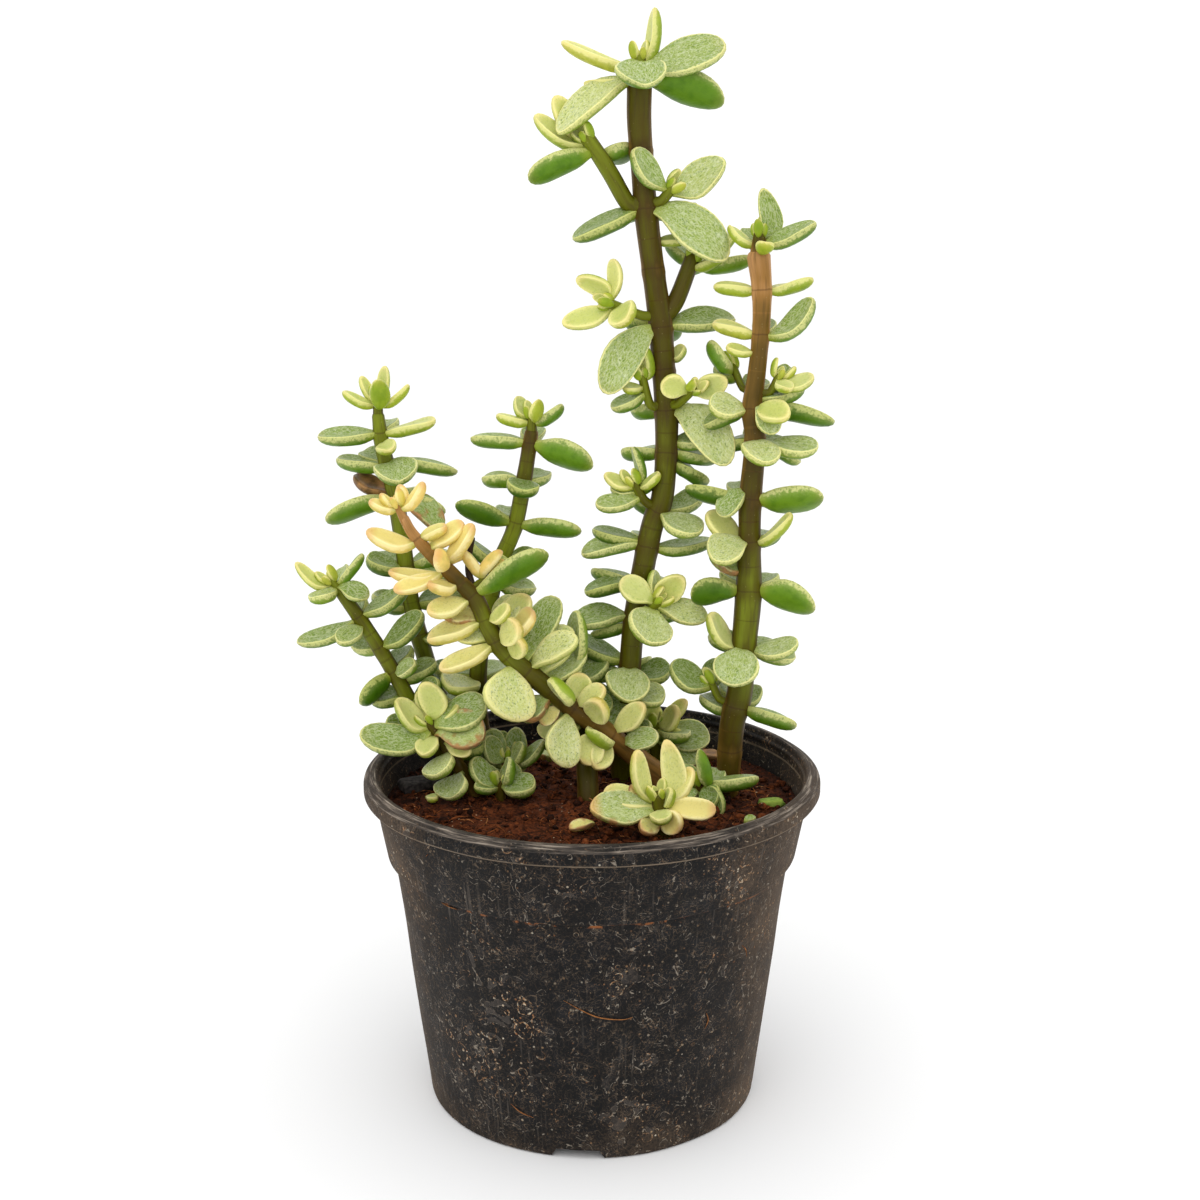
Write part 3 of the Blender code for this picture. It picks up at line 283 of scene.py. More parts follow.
# Shoots that root in the mix or end a stem: route, brownness at each end, leaves.
SHOOTS = {
    "tall_top_leaves": (
        ((13, 14, 284.8, 5.0), (13, 14, 292, 3.2)), (0.2, 0.0), (
            (289, (-21, 0, 7), 7, 10, "y"), (291, (4, 3, 14), 7, -20, "y"),
            (286, (-15, 4, -1), 6, 10, "y"), (290, (1, -12, -6), 13.5, 0, "p"),
            (288, (23, -3, 7), 12.5, 50, "m"), (286, (23, 2, -6), 11, -45, "m"),
            (286, (-22, -5, -14), 10.5, 30, "p"), (288, (3, 14, 2), 10, 0, "m"))),
    "tall_shoot_right": (
        ((23.3, 15, 227, 4.8), (28, 16, 239, 4.4)), (0.45, 0.35), (
            (238, (17, -2, 1), 8, 0, "m"), (238, (13, 4, 8), 5, 10, "y"), (238, (-6, 9, 5), 7, 0, "m"),
            (237, (10, -4, 4), 6, 20, "y"), (236, (3, 10, 2), 7, 0, "m"))),
    "tall_shoot_left": (
        ((15.0, 12.5, 171.5, 2.8), (12, 11.5, 177, 2.4)), (0.3, 0.1), (
            (176, (-1, 0, 11), 4.5, 0, "m"), (176, (-9, 2, 3), 5, 10, "y"),
            (173, (-13, -4, -2), 7, 20, "m"), (175, (6, -3, 5), 5, 10, "y"),
            (174, (-8, 5, 1), 7, 10, "m"), (174, (4, 7, 2), 6, 0, "m"))),
    "right_top_leaves": (
        ((45, 2, 240.9, 4.8), (45, 2, 246, 3.0)), (1.3, 0.3), (
            (244, (1, 1, 14), 6.5, 60, "m"), (243, (15, -2, 6), 7, 30, "m"),
            (243, (-8, 4, 5), 5, 0, "y"), (242, (1, -8, 2), 5, 0, "y"), (243, (-3, 8, 4), 6, 0, "m"))),
    "back_left_top_leaves": (
        ((-61, 24, 194.8, 3.0), (-61, 24, 200, 2.4)), (0.3, 0.0), (
            (197, (-10, 0, 4), 5, 10, "y"), (198, (-5, 4, 7), 4, 0, "y"), (199, (2, 3, 9), 4, 0, "y"),
            (197, (1, -5, 8), 6, 0, "y"), (197, (9, 0, 6), 5, 0, "y"))),
    "middle_top_leaves": (
        ((-17, 18, 190.8, 3.2), (-17, 18, 195, 2.4)), (0.3, 0.0), (
            (193, (-10, 0, 2), 6, 0, "y"), (194, (-4, 4, 6), 5, 0, "y"), (193, (9, 0, 5), 6, 0, "m"),
            (194, (2, -4, 6), 5, 30, "y"))),
    "leaning_top_leaves": (
        ((-71.4, 10, 145.8, 2.8), (-74, 10, 149, 2.2)), (0.3, 0.0), (
            (148, (-11, 1, 6), 4.5, 10, "y"), (147.5, (8, 1, 9), 4.5, 0, "m"),
            (147, (-7, -6, -2), 7, 30, "p"), (146.6, (9, -3, -2), 6, 20, "m"),
            (147, (1, 9, 4), 6, 0, "m"))),
    "yellow_top_leaves": (
        ((-51.6, -6, 170.8, 2.4), (-53, -6, 174, 2.0)), (1.3, 1.3), (
            (173, (-8, 0, 2), 4.5, 20, "c"), (173, (0, 3, 6), 4, 0, "c"),
            (172.4, (7, -2, 8), 5, 20, "c"))),
    "front_left_shoot": (
        ((-33, 1, 76, 4.4), (-34, 1, 89, 4.2), (-38, 0, 97, 4.0), (-42, 0, 104, 3.6),
        (-46, 0, 110, 3.2)), (0.9, 0.5), (
            (109, (-10, -1, 8), 8, 40, "y"), (110, (-1, 0, 12), 8, 80, "y"),
            (109, (8, -1, 6), 5, 30, "y"), (108, (-21, -3, -1), 11, 40, "m"),
            (106, (-4, -9, -3), 7, 30, "y"), (103, (7, -2, 3), 5, 0, "m"),
            (101, (-3, -12, -3), 10.5, 0, "p"), (95, (-3, -9, -5), 11, 0, "p"),
            (109, (16, -3, 7), 13, 30, "m"), (107, (14, -9, 1), 12, 30, "g"),
            (109, (-4, 5, 9), 7, 40, "y"), (108, (7, 2, 6), 7, 40, "c"), (104, (8, -8, -1), 6, 40, "y"),
            (105, (-9, 6, 1), 9, 20, "m"), (99, (7, 7, 3), 9, 20, "d"))),
    "small_shoot_left": (
        ((-25, 8, 76, 3.4), (-25, 8, 89, 3.2), (-24.5, 8, 97, 2.8)), (1.0, 0.8), (
            (96, (-5, 1, 9), 8, 60, "m"), (96, (3, 3, 9), 7, 30, "m"), (95, (11, 0, 7), 6, 20, "m"),
            (94, (-12, 3, 6), 6, 10, "m"), (96, (-6, -4, 8), 7, 70, "m"), (96, (5, -4, 6), 6, 60, "p"),
            (91, (-9, -3, 4), 7, 40, "m"), (92, (3, 9, 3), 8, 20, "d"), (95, (-2, 6, 8), 7, 20, "m"))),
    "small_shoot_front": (
        ((-26, -2, 76, 3.2), (-26, -2, 89, 3.0), (-26, -2, 93, 2.6)), (0.8, 0.5), (
            (92, (-8, -1, 8), 7, 50, "m"), (92, (10, -5, 1), 9, 30, "m"), (91, (-7, -5, 2), 5, 10, "m"),
            (93, (3, -3, 8), 6, 60, "p"), (92, (8, 0, -2), 8, 30, "f"), (91, (-5, 5, 5), 6, 30, "m"),
            (92, (4, 5, 5), 7, 30, "m"))),
    "centre_shoot": (
        ((19, 24, 76, 4.2), (19, 24, 88, 4.0), (19, 23, 97, 3.6), (19, 22, 103, 3.0)), (0.5, 0.2), (
            (102, (-1, -2, 11), 8, 70, "w"), (102, (9, 0, 8), 5, 30, "w"),
            (101, (8, -6, -2), 6, 20, "y"), (99, (16, -2, -1), 10, 45, "m"),
            (101, (-7, 8, 5), 8, 0, "m"), (96, (6, 12, 1), 9, 0, "m"), (100, (9, -10, 2), 8, -15, "m"),
            (98, (13, -4, -6), 10, 40, "m"), (102, (6, -5, 7), 7, 50, "w"),
            (101, (-15, -7, 3), 9, 55, "w"), (97, (-9, -6, 1), 8, 30, "m"),
            (102, (-6, -4, 9), 7, 60, "w"), (93, (-8, 6, 4), 8, 20, "d"), (94, (9, 7, 2), 9, 20, "m"))),
    "front_shoot": (
        ((20, -31, 76, 5.0), (20, -31, 87, 5.0), (19, -31, 93, 4.6), (18, -31, 99, 3.8)), (0.8, 0.3), (
            (98, (-6, 0, 14), 6, 40, "w"), (97, (2, 3, 17), 7, 50, "w"), (97, (9, 3, 9), 6, 30, "w"),
            (96, (15, -3, 0), 6.5, 50, "c"), (95, (-1, -9, 0), 6, 40, "y"),
            (95, (-19, -4, 2), 10.5, 45, "b"), (96, (-15, 5, 3), 9, 10, "w"),
            (96, (-8, 3, 5), 6, 20, "o"), (95, (5, -6, -4), 7, 70, "c"), (93, (8, 6, 3), 7, 20, "y"),
            (96, (3, -3, 6), 5, 50, "y"), (92, (-6, -7, 0), 6, 40, "o"))),
    "right_low_shoot": (
        ((32, -5, 76, 4.2), (32, -5, 88, 4.0), (31, -5, 94, 3.4)), (0.8, 0.5), (
            (93, (16, -3, 3), 8.5, -15, "m"), (93, (-1, -1, 11), 5, 30, "m"),
            (92, (3, -9, -2), 7, 30, "d"), (92, (5, -9, -5), 7, 60, "d"), (93, (-6, 4, 4), 7, 20, "m"),
            (92, (5, 8, 3), 8, 10, "m"), (91, (-8, -5, 0), 6, 30, "m"))),
}

# Kinds of leaf: tone (0 deep green, 1 cream yellow), how mottled its face is, blush at its tip,
# how withered it is, and its thickness against an ordinary leaf.
LEAF_KINDS = {
    "d": (0.05, 0.7, 0.0, 0.0, 1.00),
    "m": (0.30, 0.9, 0.1, 0.0, 1.00),
    "g": (0.40, 0.7, 0.0, 0.5, 1.00),
    "p": (0.44, 1.0, 0.0, 0.0, 0.95),
    "f": (0.56, 1.0, 0.0, 0.0, 0.95),
    "y": (0.68, 0.2, 0.2, 0.0, 0.90),
    "w": (0.80, 0.3, 0.5, 0.0, 1.00),
    "c": (1.00, 0.1, 1.0, 0.0, 1.05),
    "r": (0.20, 0.3, 0.0, 0.9, 0.80),
    "h": (0.66, 1.0, 0.2, 0.0, 1.05),
    "b": (0.56, 1.0, 1.0, 0.36, 0.95),
    "o": (0.95, 0.3, 1.0, 0.5, 0.80),
}

# Shoots that grow from the side of a stem, and the height at which they leave its middle.
SHOOT_STEMS = {
    "tall_shoot_right": ("tall_stem", 222),
    "tall_shoot_left": ("tall_stem", 169),
}

# Leaves that lie loose on the mix: foot, tip, width, turn, kind.
LOOSE_LEAVES = (
    ((1, -29, 90.4), (-6, -31, 89.6), 4, 10, "o"),
    ((22, -50, 88.6), (16, -53, 89.8), 7, 0, "y"),
    ((-47, -4, 89.0), (-44, -7, 89.6), 3.6, 10, "y"),
    ((42, -24, 89.0), (45, -22, 89.8), 2.8, 10, "m"),
    ((-12, 30, 89.0), (-22, 33, 89.8), 7, 0, "g"),
    ((30, 34, 89.0), (38, 30, 89.8), 6, 0, "r"),
)

# Dead, dark twig stubs: (x, y, z, diameter) along each.
DEAD_TWIGS = (
    ((-32, -5, 148, 2.2), (-34, -2, 154, 1.9), (-34, 1, 158, 1.7), (-33, 1, 163, 1.5)),
)

# Husk fibres stuck to the wall: how far round from the front and how high, in mm, at each bend.
WALL_FIBRES = (
    ((-7, 50), (-3, 47.5), (2, 45), (8, 44), (11, 44.5)),
    ((-41, 71.9), (-38, 71.6), (-35, 71.7)),
    ((-24, 15), (-21, 13), (-17, 12)),
    ((33, 36), (34, 38.5), (33, 41)),
    ((44, 58), (46, 56), (47, 53.5)),
)

# Loose bits on the mix: (x, y), (length, width, height), turn, light and dark colour, finish.
LITTER = {
    "bark_chip": ((-50, 8), (12, 6, 3.4), 25, ("#4a4441", "#1f1c1b"), "bark"),
    "fallen_leaf": ((51, -6), (7, 4.5, 2.2), 15, ("#9bb04a", "#6a8a30"), "leaf_skin"),
}

# ---- pot, in millimetres -----------------------------------------------------------------------
POT_SIDES = 176
POT_WALL = 1.3
# Half section: (radius, height) from under the floor round the foot, wall, collar and rolled lip,
# and down the inside to the middle of the floor.
POT_PROFILE = (
    (0.0, 3.2), (43.0, 3.2), (43.5, 0.0), (46.6, 0.0), (47.3, 0.4), (47.6, 1.3), (56.5, 72.65),
    (58.4, 73.35), (62.0, 92.1), (62.0, 95.0), (63.7, 95.0), (63.7, 91.6), (64.5, 91.6),
    (65.0, 92.1), (65.0, 94.6), (64.7, 95.6), (62.6, 97.0), (61.5, 97.0), (61.0, 96.5),
    (60.9, 95.2), (60.2, 94.8), (60.2, 93.9), (60.7, 93.5), (61.6 - POT_WALL, 91.6),
    (57.9 - POT_WALL, 74.0), (55.7 - POT_WALL, 72.0), (45.9, 5.6), (44.4, 4.6), (0.0, 4.6))
# Its corners are cut with arcs of this reach, or this share of a short side.
MOULD_CORNER = 0.45
CORNER_SHARE = 0.4
CORNER_STEPS = 3
# Turned points nearer than this gap become one, and edges sharper than this angle look sharp.
MERGE_GAP = 0.01
SHARP_DEGREES = 50
# Walls taller than this are cut across, so that they can be pushed in a little.
TALL_WALL = 12.0
WALL_CUTS = 14
# Outside this radius the wall is pushed in, by dents of this closeness, squeezed in height, and
# by this share all over.
FLOOR_EDGE = 40.0
PUSH_CLOSENESS = 0.035
PUSH_SQUEEZE = 1.3
PUSH_EVEN = 0.2
# The foot's notches are narrower at the top by their slant on each side; angles are in degrees.
NOTCH_COUNT = 4
NOTCH_WIDTH = 14.0
NOTCH_HEIGHT = 2.9
NOTCH_FOOT = -1.0
NOTCH_SLANT = 1.0
NOTCH_RADII = (40.0, 52.0)
FIRST_NOTCH = -94.5
DRAIN_COUNT = 8
DRAIN_SIDES = 28
DRAIN_RADIUS = 4.0
DRAIN_CIRCLE = 33.0
DRAIN_MIDDLE = 3.9
DRAIN_DEPTH = 5.4
# Distances round the wall are measured at this radius; the wall leans out from its foot.
ROUND = 52.0
WALL_FOOT = (47.6, 1.3)
WALL_LEAN = 0.1248
# Fibres on the wall: thickness, step along them, how thick their ends are against it, and sides.
WALL_FIBRE = 0.34
WALL_FIBRE_STEP = 0.8
WALL_FIBRE_END = 0.35
WALL_FIBRE_SIDES = 5

# ---- potting mix, in millimetres ---------------------------------------------------------------
# The surface crowns in the middle, falls by a share of that out to the crown's radius, and dips
# over the width of its edge at the wall.
SOIL_EDGE_Z = 87.0
SOIL_CROWN = 1.0
CROWN_FALL = 0.2
CROWN_RADIUS = 30.0
SOIL_RADIUS = 59.0
SOIL_EDGE_WIDTH = 9.0
SOIL_EDGE_DIP = 0.5
# Painted shade of the surface: its value at the height of its edge, and how much lighter it gets
# with height, so that hollows and the dip by the wall are painted darker.
SOIL_HOLLOW_SHADE = (0.35, 0.12)
# (height, closeness) of the lumps that die out at the wall, and of the grain all over.
SOIL_LUMPS = ((0.9, 0.11), (0.85, 0.33))
SOIL_GRAIN = ((0.30, 0.95), (0.16, 2.1))
# (radius, height) down the inside of the pot and along its floor.
SOIL_UNDERSIDE = ((56.0, 74.3), (53.9, 71.2), (44.8, 6.6), (43.4, 4.9), (0.0, 4.9))
MIX_SEED = 41
LITTER_SEED = 77
MIX_RINGS = 64
MIX_SIDES = 180
BATCH = 30
# Crumbs: how far in from the wall they end, the least size against the largest and how rare large
# ones are, then the ranges of their shade, lumpiness, turn, length, height, and rise over the mix
# against their size.
CRUMB_MARGIN = 0.8
CRUMB_LEAST = 0.22
CRUMB_RARITY = 3.5
CRUMB_SHADE = (0.10, 0.62)
CRUMB_LUMPS = (0.75, 1.15)
CRUMB_TURN = 6.28
CRUMB_LENGTH = (0.8, 1.5)
CRUMB_HEIGHT = (0.55, 0.95)
CRUMB_RISE = (0.02, 0.3)
# Fibres: how far in from the wall they start, the ranges of length, thickness and shade, the most
# that they bend at each step, then their steps, sides, rise over the mix against their thickness,
# arch in the middle and taper to the ends.
FIBRE_MARGIN = 4.0
FIBRE_LENGTH = (3, 9)
FIBRE_THICK = (0.2, 0.5)
FIBRE_SHADE = (0.3, 0.95)
FIBRE_BEND = 0.5
FIBRE_STEPS = 5
FIBRE_SIDES = 4
FIBRE_CLEAR = 0.6
FIBRE_ARCH = 0.5
FIBRE_TAPER = 0.6
# Bits of litter: a cube drawn towards a ball (the ball's radius, how far), dented (depth, closeness),
# sunk and tilted.
BIT_BALL = (0.55, 0.45)
BIT_DENTS = (0.10, 2.3)
BIT_SUNK = 0.2
BIT_TILT = 0.2

# ---- stems and leaves --------------------------------------------------------------------------
STEM_SIDES = 22
TWIG_SIDES = 14
STEM_STEP = 1.1
# Nodes: the usual gap, the gap under which two are one, the most distance from one that is told
# apart, how far under its leaves a ring or groove lies and how wide it is, and the groove's depth.
NODE_SPACING = 23.0
NODE_MERGE = 6.0
NODE_REACH = 9.0
RING_PLACE = (0.6, 1.6)
GROOVE_PLACE = (-0.5, 0.5)
GROOVE_DEPTH = 0.03
# A stem's unevenness as a share of its radius, and its closeness along the stem.
STEM_WOBBLE = 0.03
WOBBLE_CLOSENESS = 0.05
STEM_MEAN_RADIUS = 3
# A stem ends in a dome: (height, width) of its rings against the end's radius.
STEM_DOME = ((0.35, 0.86), (0.6, 0.5))
# How brown twigs are at each end; 2 is dead wood.
TWIG_BROWN = (0.22, 0.0)
DEAD_BROWN = (2.0, 2.0)
# A leaf or twig starts this share of the radius out from its stem's middle, and a twig turns
# upwards this far outside the skin.
SINK = 0.55
KNEE = 1.5
# A shoot's stalk starts this far under the end of the stem that it crowns.
SHOOT_ROOT = 2.5
LEAF_SIDES = 24
LEAF_RINGS = 14
# A leaf sets out squarely for this share of its length, then bends to its tip.  It is not turned to
# the front when less than this share of that direction lies across it.
LEAF_FLARE = 0.30
LEAST_TURN = 0.15
# A blade is spoon-shaped: the share of its length at which it is widest, its width and depth at
# the neck against its fullest, the shares at which it starts to widen and is fully deep, how blunt
# its tip is from above and from the side, and the share that its closed foot takes.
WIDEST = 0.64
NECK_WIDTH = (0.24, 0.36)
NECK_DEPTH = 0.50
NECK_END = 0.03
DEEP_FROM = 0.4
TIP_BLUNTNESS = (2.1, 2.8)
DEPTH_BLUNTNESS = 3
FOOT_SHARE = 0.04
# The ball's rings narrower than this count as the margin of the tip.
TIP_MARGIN = 0.55
# Shares of a blade's thickness: the rounded rim over its middle plane, the dish pressed into the
# upper face, and the belly under it.
UPPER_SHARE = 0.42
DISH_SHARE = 0.24
UNDER_SHARE = 0.58
# How round the section is (1 for a circle): towards its sides, over the upper face and under it.
ROUNDNESS = (0.8, 0.6, 0.85)
# A leaf's thickness against an ordinary one's: at no width, and more for each millimetre.
THICKNESS_GROWTH = (0.25, 0.085)
# How much leaves differ: in tone, cupping, sideways bow, twist about a share of their length, and
# waviness of the edge, sideways and in height.
TONE_SPREAD = 0.10
CUP = (0.03, 0.14)
BOW = 0.08
TWIST = 0.30
TWIST_MIDDLE = 0.3
WAVE = (0.01, 0.045)
WAVE_HEIGHT = 0.8
# Waves from foot to tip, in radians: of the outline and of the height of the edges.
WAVES = (9, 6)
# Patterns of one leaf or stem and the next are taken this far apart; twigs, the stalks of shoots
# and dead twigs count on from numbers of their own.
LEAF_APART = 7.3
STEM_APART = 5.1
FIRST_TWIG = 20
FIRST_STALK = 40
FIRST_DEAD = 60
# Points nearer than this to the ball's axis are its poles.
ON_POLE = 1e-6
# The very young leaves of a bud: (turn round the twig in degrees, length, width).
BUD = ((0, 5.2, 3.0), (180, 4.8, 2.8), (90, 3.4, 2.0), (270, 3.2, 1.9))
# Ranges of how far they reach along the twig and out from it, and how deep they sit in its end.
BUD_RISE = (0.85, 1.0)
BUD_SPREAD = (0.4, 0.6)
BUD_SUNK = 0.4

# ---- stage, in metres unless said --------------------------------------------------------------
FLOOR_RADIUS = 6.0
FLOOR_SIDES = 64
SOFTBOX_SIDE = 0.9
SOFTBOX_PLACE = (-0.10, -0.60, 0.95)
SOFTBOX_AIM = (0, 0, 0.15)
CAMERA_PLACE_MM = (2.4, -500.0, 267.0)
CAMERA_DIP_DEGREES = 13.64
LENS_MM = 55.26
SENSOR_MM = 36.0
CLIP_START = 0.01


# ---- colours and nodes -------------------------------------------------------------------------
# Settings that many nodes share.
SMOOTH = {"interpolation_type": "SMOOTHSTEP"}
EDGES = {"feature": "DISTANCE_TO_EDGE"}
PLUS, MINUS, TIMES, TIMES_PLUS, LARGER, SIZE, OVER = ({"operation": name} for name in (
    "ADD", "SUBTRACT", "MULTIPLY", "MULTIPLY_ADD", "MAXIMUM", "ABSOLUTE", "GREATER_THAN"))


def linear(colour):
    """Turn an sRGB hex colour into the linear values that shaders take."""
    parts = [int(colour[i:i + 2], 16) / 255 for i in (1, 3, 5)]
    return tuple(c / 12.92 if c <= 0.04045 else ((c + 0.055) / 1.055) ** 2.4 for c in parts) + (1.0,)


def fill(node, inputs):
    """Fill a node's inputs with values, hex colours, sockets or other nodes' first outputs."""
    for name, value in inputs.items():
        socket = node.inputs[name]
        if isinstance(value, bpy.types.Node):
            value = next(output for output in value.outputs if output.enabled)
        if isinstance(value, bpy.types.NodeSocket):
            node.id_data.links.new(value, socket)
        else:
            socket.default_value = linear(value) if isinstance(value, str) else value


def add_node(tree, kind, settings=None, *inputs, **named):
    """Add one shader node with its settings, its inputs in socket order and further named ones."""
    made = tree.nodes.new("ShaderNode" + kind)
    for name, value in (settings or {}).items():
        if name == "stops":
            ramp = made.color_ramp
            while len(ramp.elements) < len(value):
                ramp.elements.new(0.5)
            for stop, (place, colour) in zip(ramp.elements, value):
                stop.position = place
                stop.color = linear(colour)
        else:
            setattr(made, name, value)
    fill(made, {**dict(enumerate(inputs)), **named})
    return made


def lay_coats(add, colour, coats, blend="MIX"):
    """Lay coats of colour over each other, each where its mask is 1, and return the top one."""
    for mask, coat in coats:
        below = colour
        colour = add("Mix", {"data_type": "RGBA", "blend_type": blend}, mask)
        fill(colour, {6: below, 7: coat})
    return colour


def new_material(name, roughness, specular, **more):
    """A material, the function that adds its nodes, and its shader with what holds all over it."""
    made = bpy.data.materials.new(name)
    made.use_nodes = True
    shader = made.node_tree.nodes["Principled BSDF"]
    fill(shader, {"Roughness": roughness, "Specular IOR Level": specular})
    fill(shader, {socket.replace("_", " "): value for socket, value in more.items()})
    return made, partial(add_node, made.node_tree), shader


def axis_millimetres(add):
    """Object coordinates in millimetres, measured from the foot of the pot's axis."""
    return add("Mapping", {"vector_type": "POINT"}, add("TexCoord").outputs["Object"],
               Location=tuple(-AXIS / MM), Scale=(1 / MM,) * 3)


def line_where(add, follows, level, clear, full, strength):
    """Mask of the line along which a value passes a level, from clear of it to full upon it."""
    off = add("Math", MINUS, follows, level)
    off = add("Math", SIZE, off)
    return add("MapRange", SMOOTH, off, clear, full, 0.0, strength)


# ---- mesh helpers ------------------------------------------------------------------------------
def finish_piece(name, bm, surface, slot, nodes):
    """Place a mesh made in millimetres round the pot's axis, and let it ride and stand for nodes."""
    bm.transform(Matrix.Translation(AXIS) @ Matrix.Scale(MM, 4))
    bmesh.ops.recalc_face_normals(bm, faces=bm.faces[:])
    for face in bm.faces:
        face.smooth = True
    mesh = bpy.data.meshes.new(name)
    bm.to_mesh(mesh)
    bm.free()
    piece = bpy.data.objects.new(name, mesh)
    bpy.context.scene.collection.objects.link(piece)
    mesh.materials.append(surface)
    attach(piece, "root")
    if nodes:
        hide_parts(*nodes)
    return piece


def smoothstep(low, high, value):
    """Rise smoothly from 0 at the low value to 1 at the high one."""
    share = min(max((value - low) / (high - low), 0.0), 1.0)
    return share * share * (3 - 2 * share)


def side_of(along):
    """A direction square to another, on the same side of it wherever that can be."""
    return along.cross(FRONT if abs(along.dot(FRONT)) < NEARLY_FRONT else UP).normalized()


def square_frame(middle, along, radius):
    """A frame at a point whose Z runs along a direction, and whose ring keeps one steady side."""
    side = side_of(along)
    other = along.cross(side).normalized()
    turn = Matrix((side, other, along)).transposed().to_4x4()
    return Matrix.Translation(middle) @ turn @ Matrix.Scale(radius, 4)


def tube(bm, stations, sides):
    """Extrude a capped ring through (middle, direction, radius) stations; returns each one's ring."""
    flat = bmesh.ops.create_circle(bm, cap_ends=True, segments=sides, radius=1.0)["verts"]
    shape = [vert.co.copy() for vert in flat]
    face = flat[0].link_faces[0]
    rings = []
    for i, station in enumerate(stations):
        if i:
            made = bmesh.ops.extrude_face_region(bm, geom=[face])["geom"]
            if i > 1:
                bmesh.ops.delete(bm, geom=[face], context="FACES_ONLY")
            face = next(item for item in made if isinstance(item, bmesh.types.BMFace))
        frame_here = square_frame(*station)
        ring = list(face.verts)
        for vert, point in zip(ring, shape):
            vert.co = frame_here @ point
        rings.append(ring)
    return rings


def turn_profile(bm, profile, sides):
    """Turn a (radius, height) profile about the axis into one closed skin."""
    verts = [bm.verts.new((radius, 0, z)) for radius, z in profile]
    edges = [bm.edges.new(pair) for pair in zip(verts, verts[1:])]
    bmesh.ops.spin(bm, geom=verts + edges, cent=(0, 0, 0), axis=(0, 0, 1), angle=2 * math.pi,
                   steps=sides, use_merge=True, use_duplicate=False)
    bmesh.ops.remove_doubles(bm, verts=bm.verts[:], dist=MERGE_GAP)


# ---- routes ------------------------------------------------------------------------------------
def route_at(route, z):
    """Middle, direction and radius of a stem at a height, on its straight stretches."""
    last = len(route) - 2
    for i in range(last + 1):
        low, high = route[i], route[i + 1]
        if z <= high[2] or i == last:
            share = (z - low[2]) / (high[2] - low[2])
            middle = Vector(low[:3]).lerp(Vector(high[:3]), share)
            along = (Vector(high[:3]) - Vector(low[:3])).normalized()
            return middle, along, 0.5 * (low[3] + (high[3] - low[3]) * share)


def sprig_route(stem, height, beyond):
    """Route of a twig that leaves its stem squarely, from just inside the stem's skin."""
    middle, along, radius = route_at(stem, height)
    toward = Vector(beyond[0][:3]) - middle
    outward = (toward - along * toward.dot(along)).normalized()
    foot = middle + outward * radius * SINK
    knee = middle + outward * (radius + KNEE)
    thick = beyond[0][3]
    return [(*foot, thick), (*knee, thick)] + list(beyond)


def smooth_route(route, step):
    """Points with diameters on a smooth curve through a route, about a step apart."""
    points = [Vector(point) for point in route]
    ends = [points[0] * 2 - points[1]] + points + [points[-1] * 2 - points[-2]]
    smooth = []
    for p0, p1, p2, p3 in zip(ends, ends[1:], ends[2:], ends[3:]):
        count = max(1, round((p2.xyz - p1.xyz).length / step))
        for i in range(count):
            t = i / count
            smooth.append(0.5 * (2 * p1 + (p2 - p0) * t + (2 * p0 - 5 * p1 + 4 * p2 - p3) * t * t
                                 + (3 * p1 - p0 - 3 * p2 + p3) * t ** 3))
    return smooth + [points[-1]]


def heading_at(smooth, i):
    """Direction of a smooth route at one of its points."""
    before, after = smooth[max(i - 1, 0)], smooth[min(i + 1, len(smooth) - 1)]
    return (after.xyz - before.xyz).normalized()


# ---- leaves ------------------------------------------------------------------------------------
def blade_section(share, narrow, blunt):
    """How wide and how deep a blade is at a share of its length, against its fullest."""
    past = max(0.0, (share - WIDEST) / (1 - WIDEST))
    foot = min(1.0, share / FOOT_SHARE) ** 0.5
    outline = foot * math.sqrt(max(0.0, 1 - past ** blunt))
    outline *= narrow + (1 - narrow) * smoothstep(NECK_END, WIDEST, share)
    depth = foot * math.sqrt(max(0.0, 1 - past ** DEPTH_BLUNTNESS))
    depth *= NECK_DEPTH + (1 - NECK_DEPTH) * smoothstep(0.0, DEEP_FROM, share)
    return outline, depth


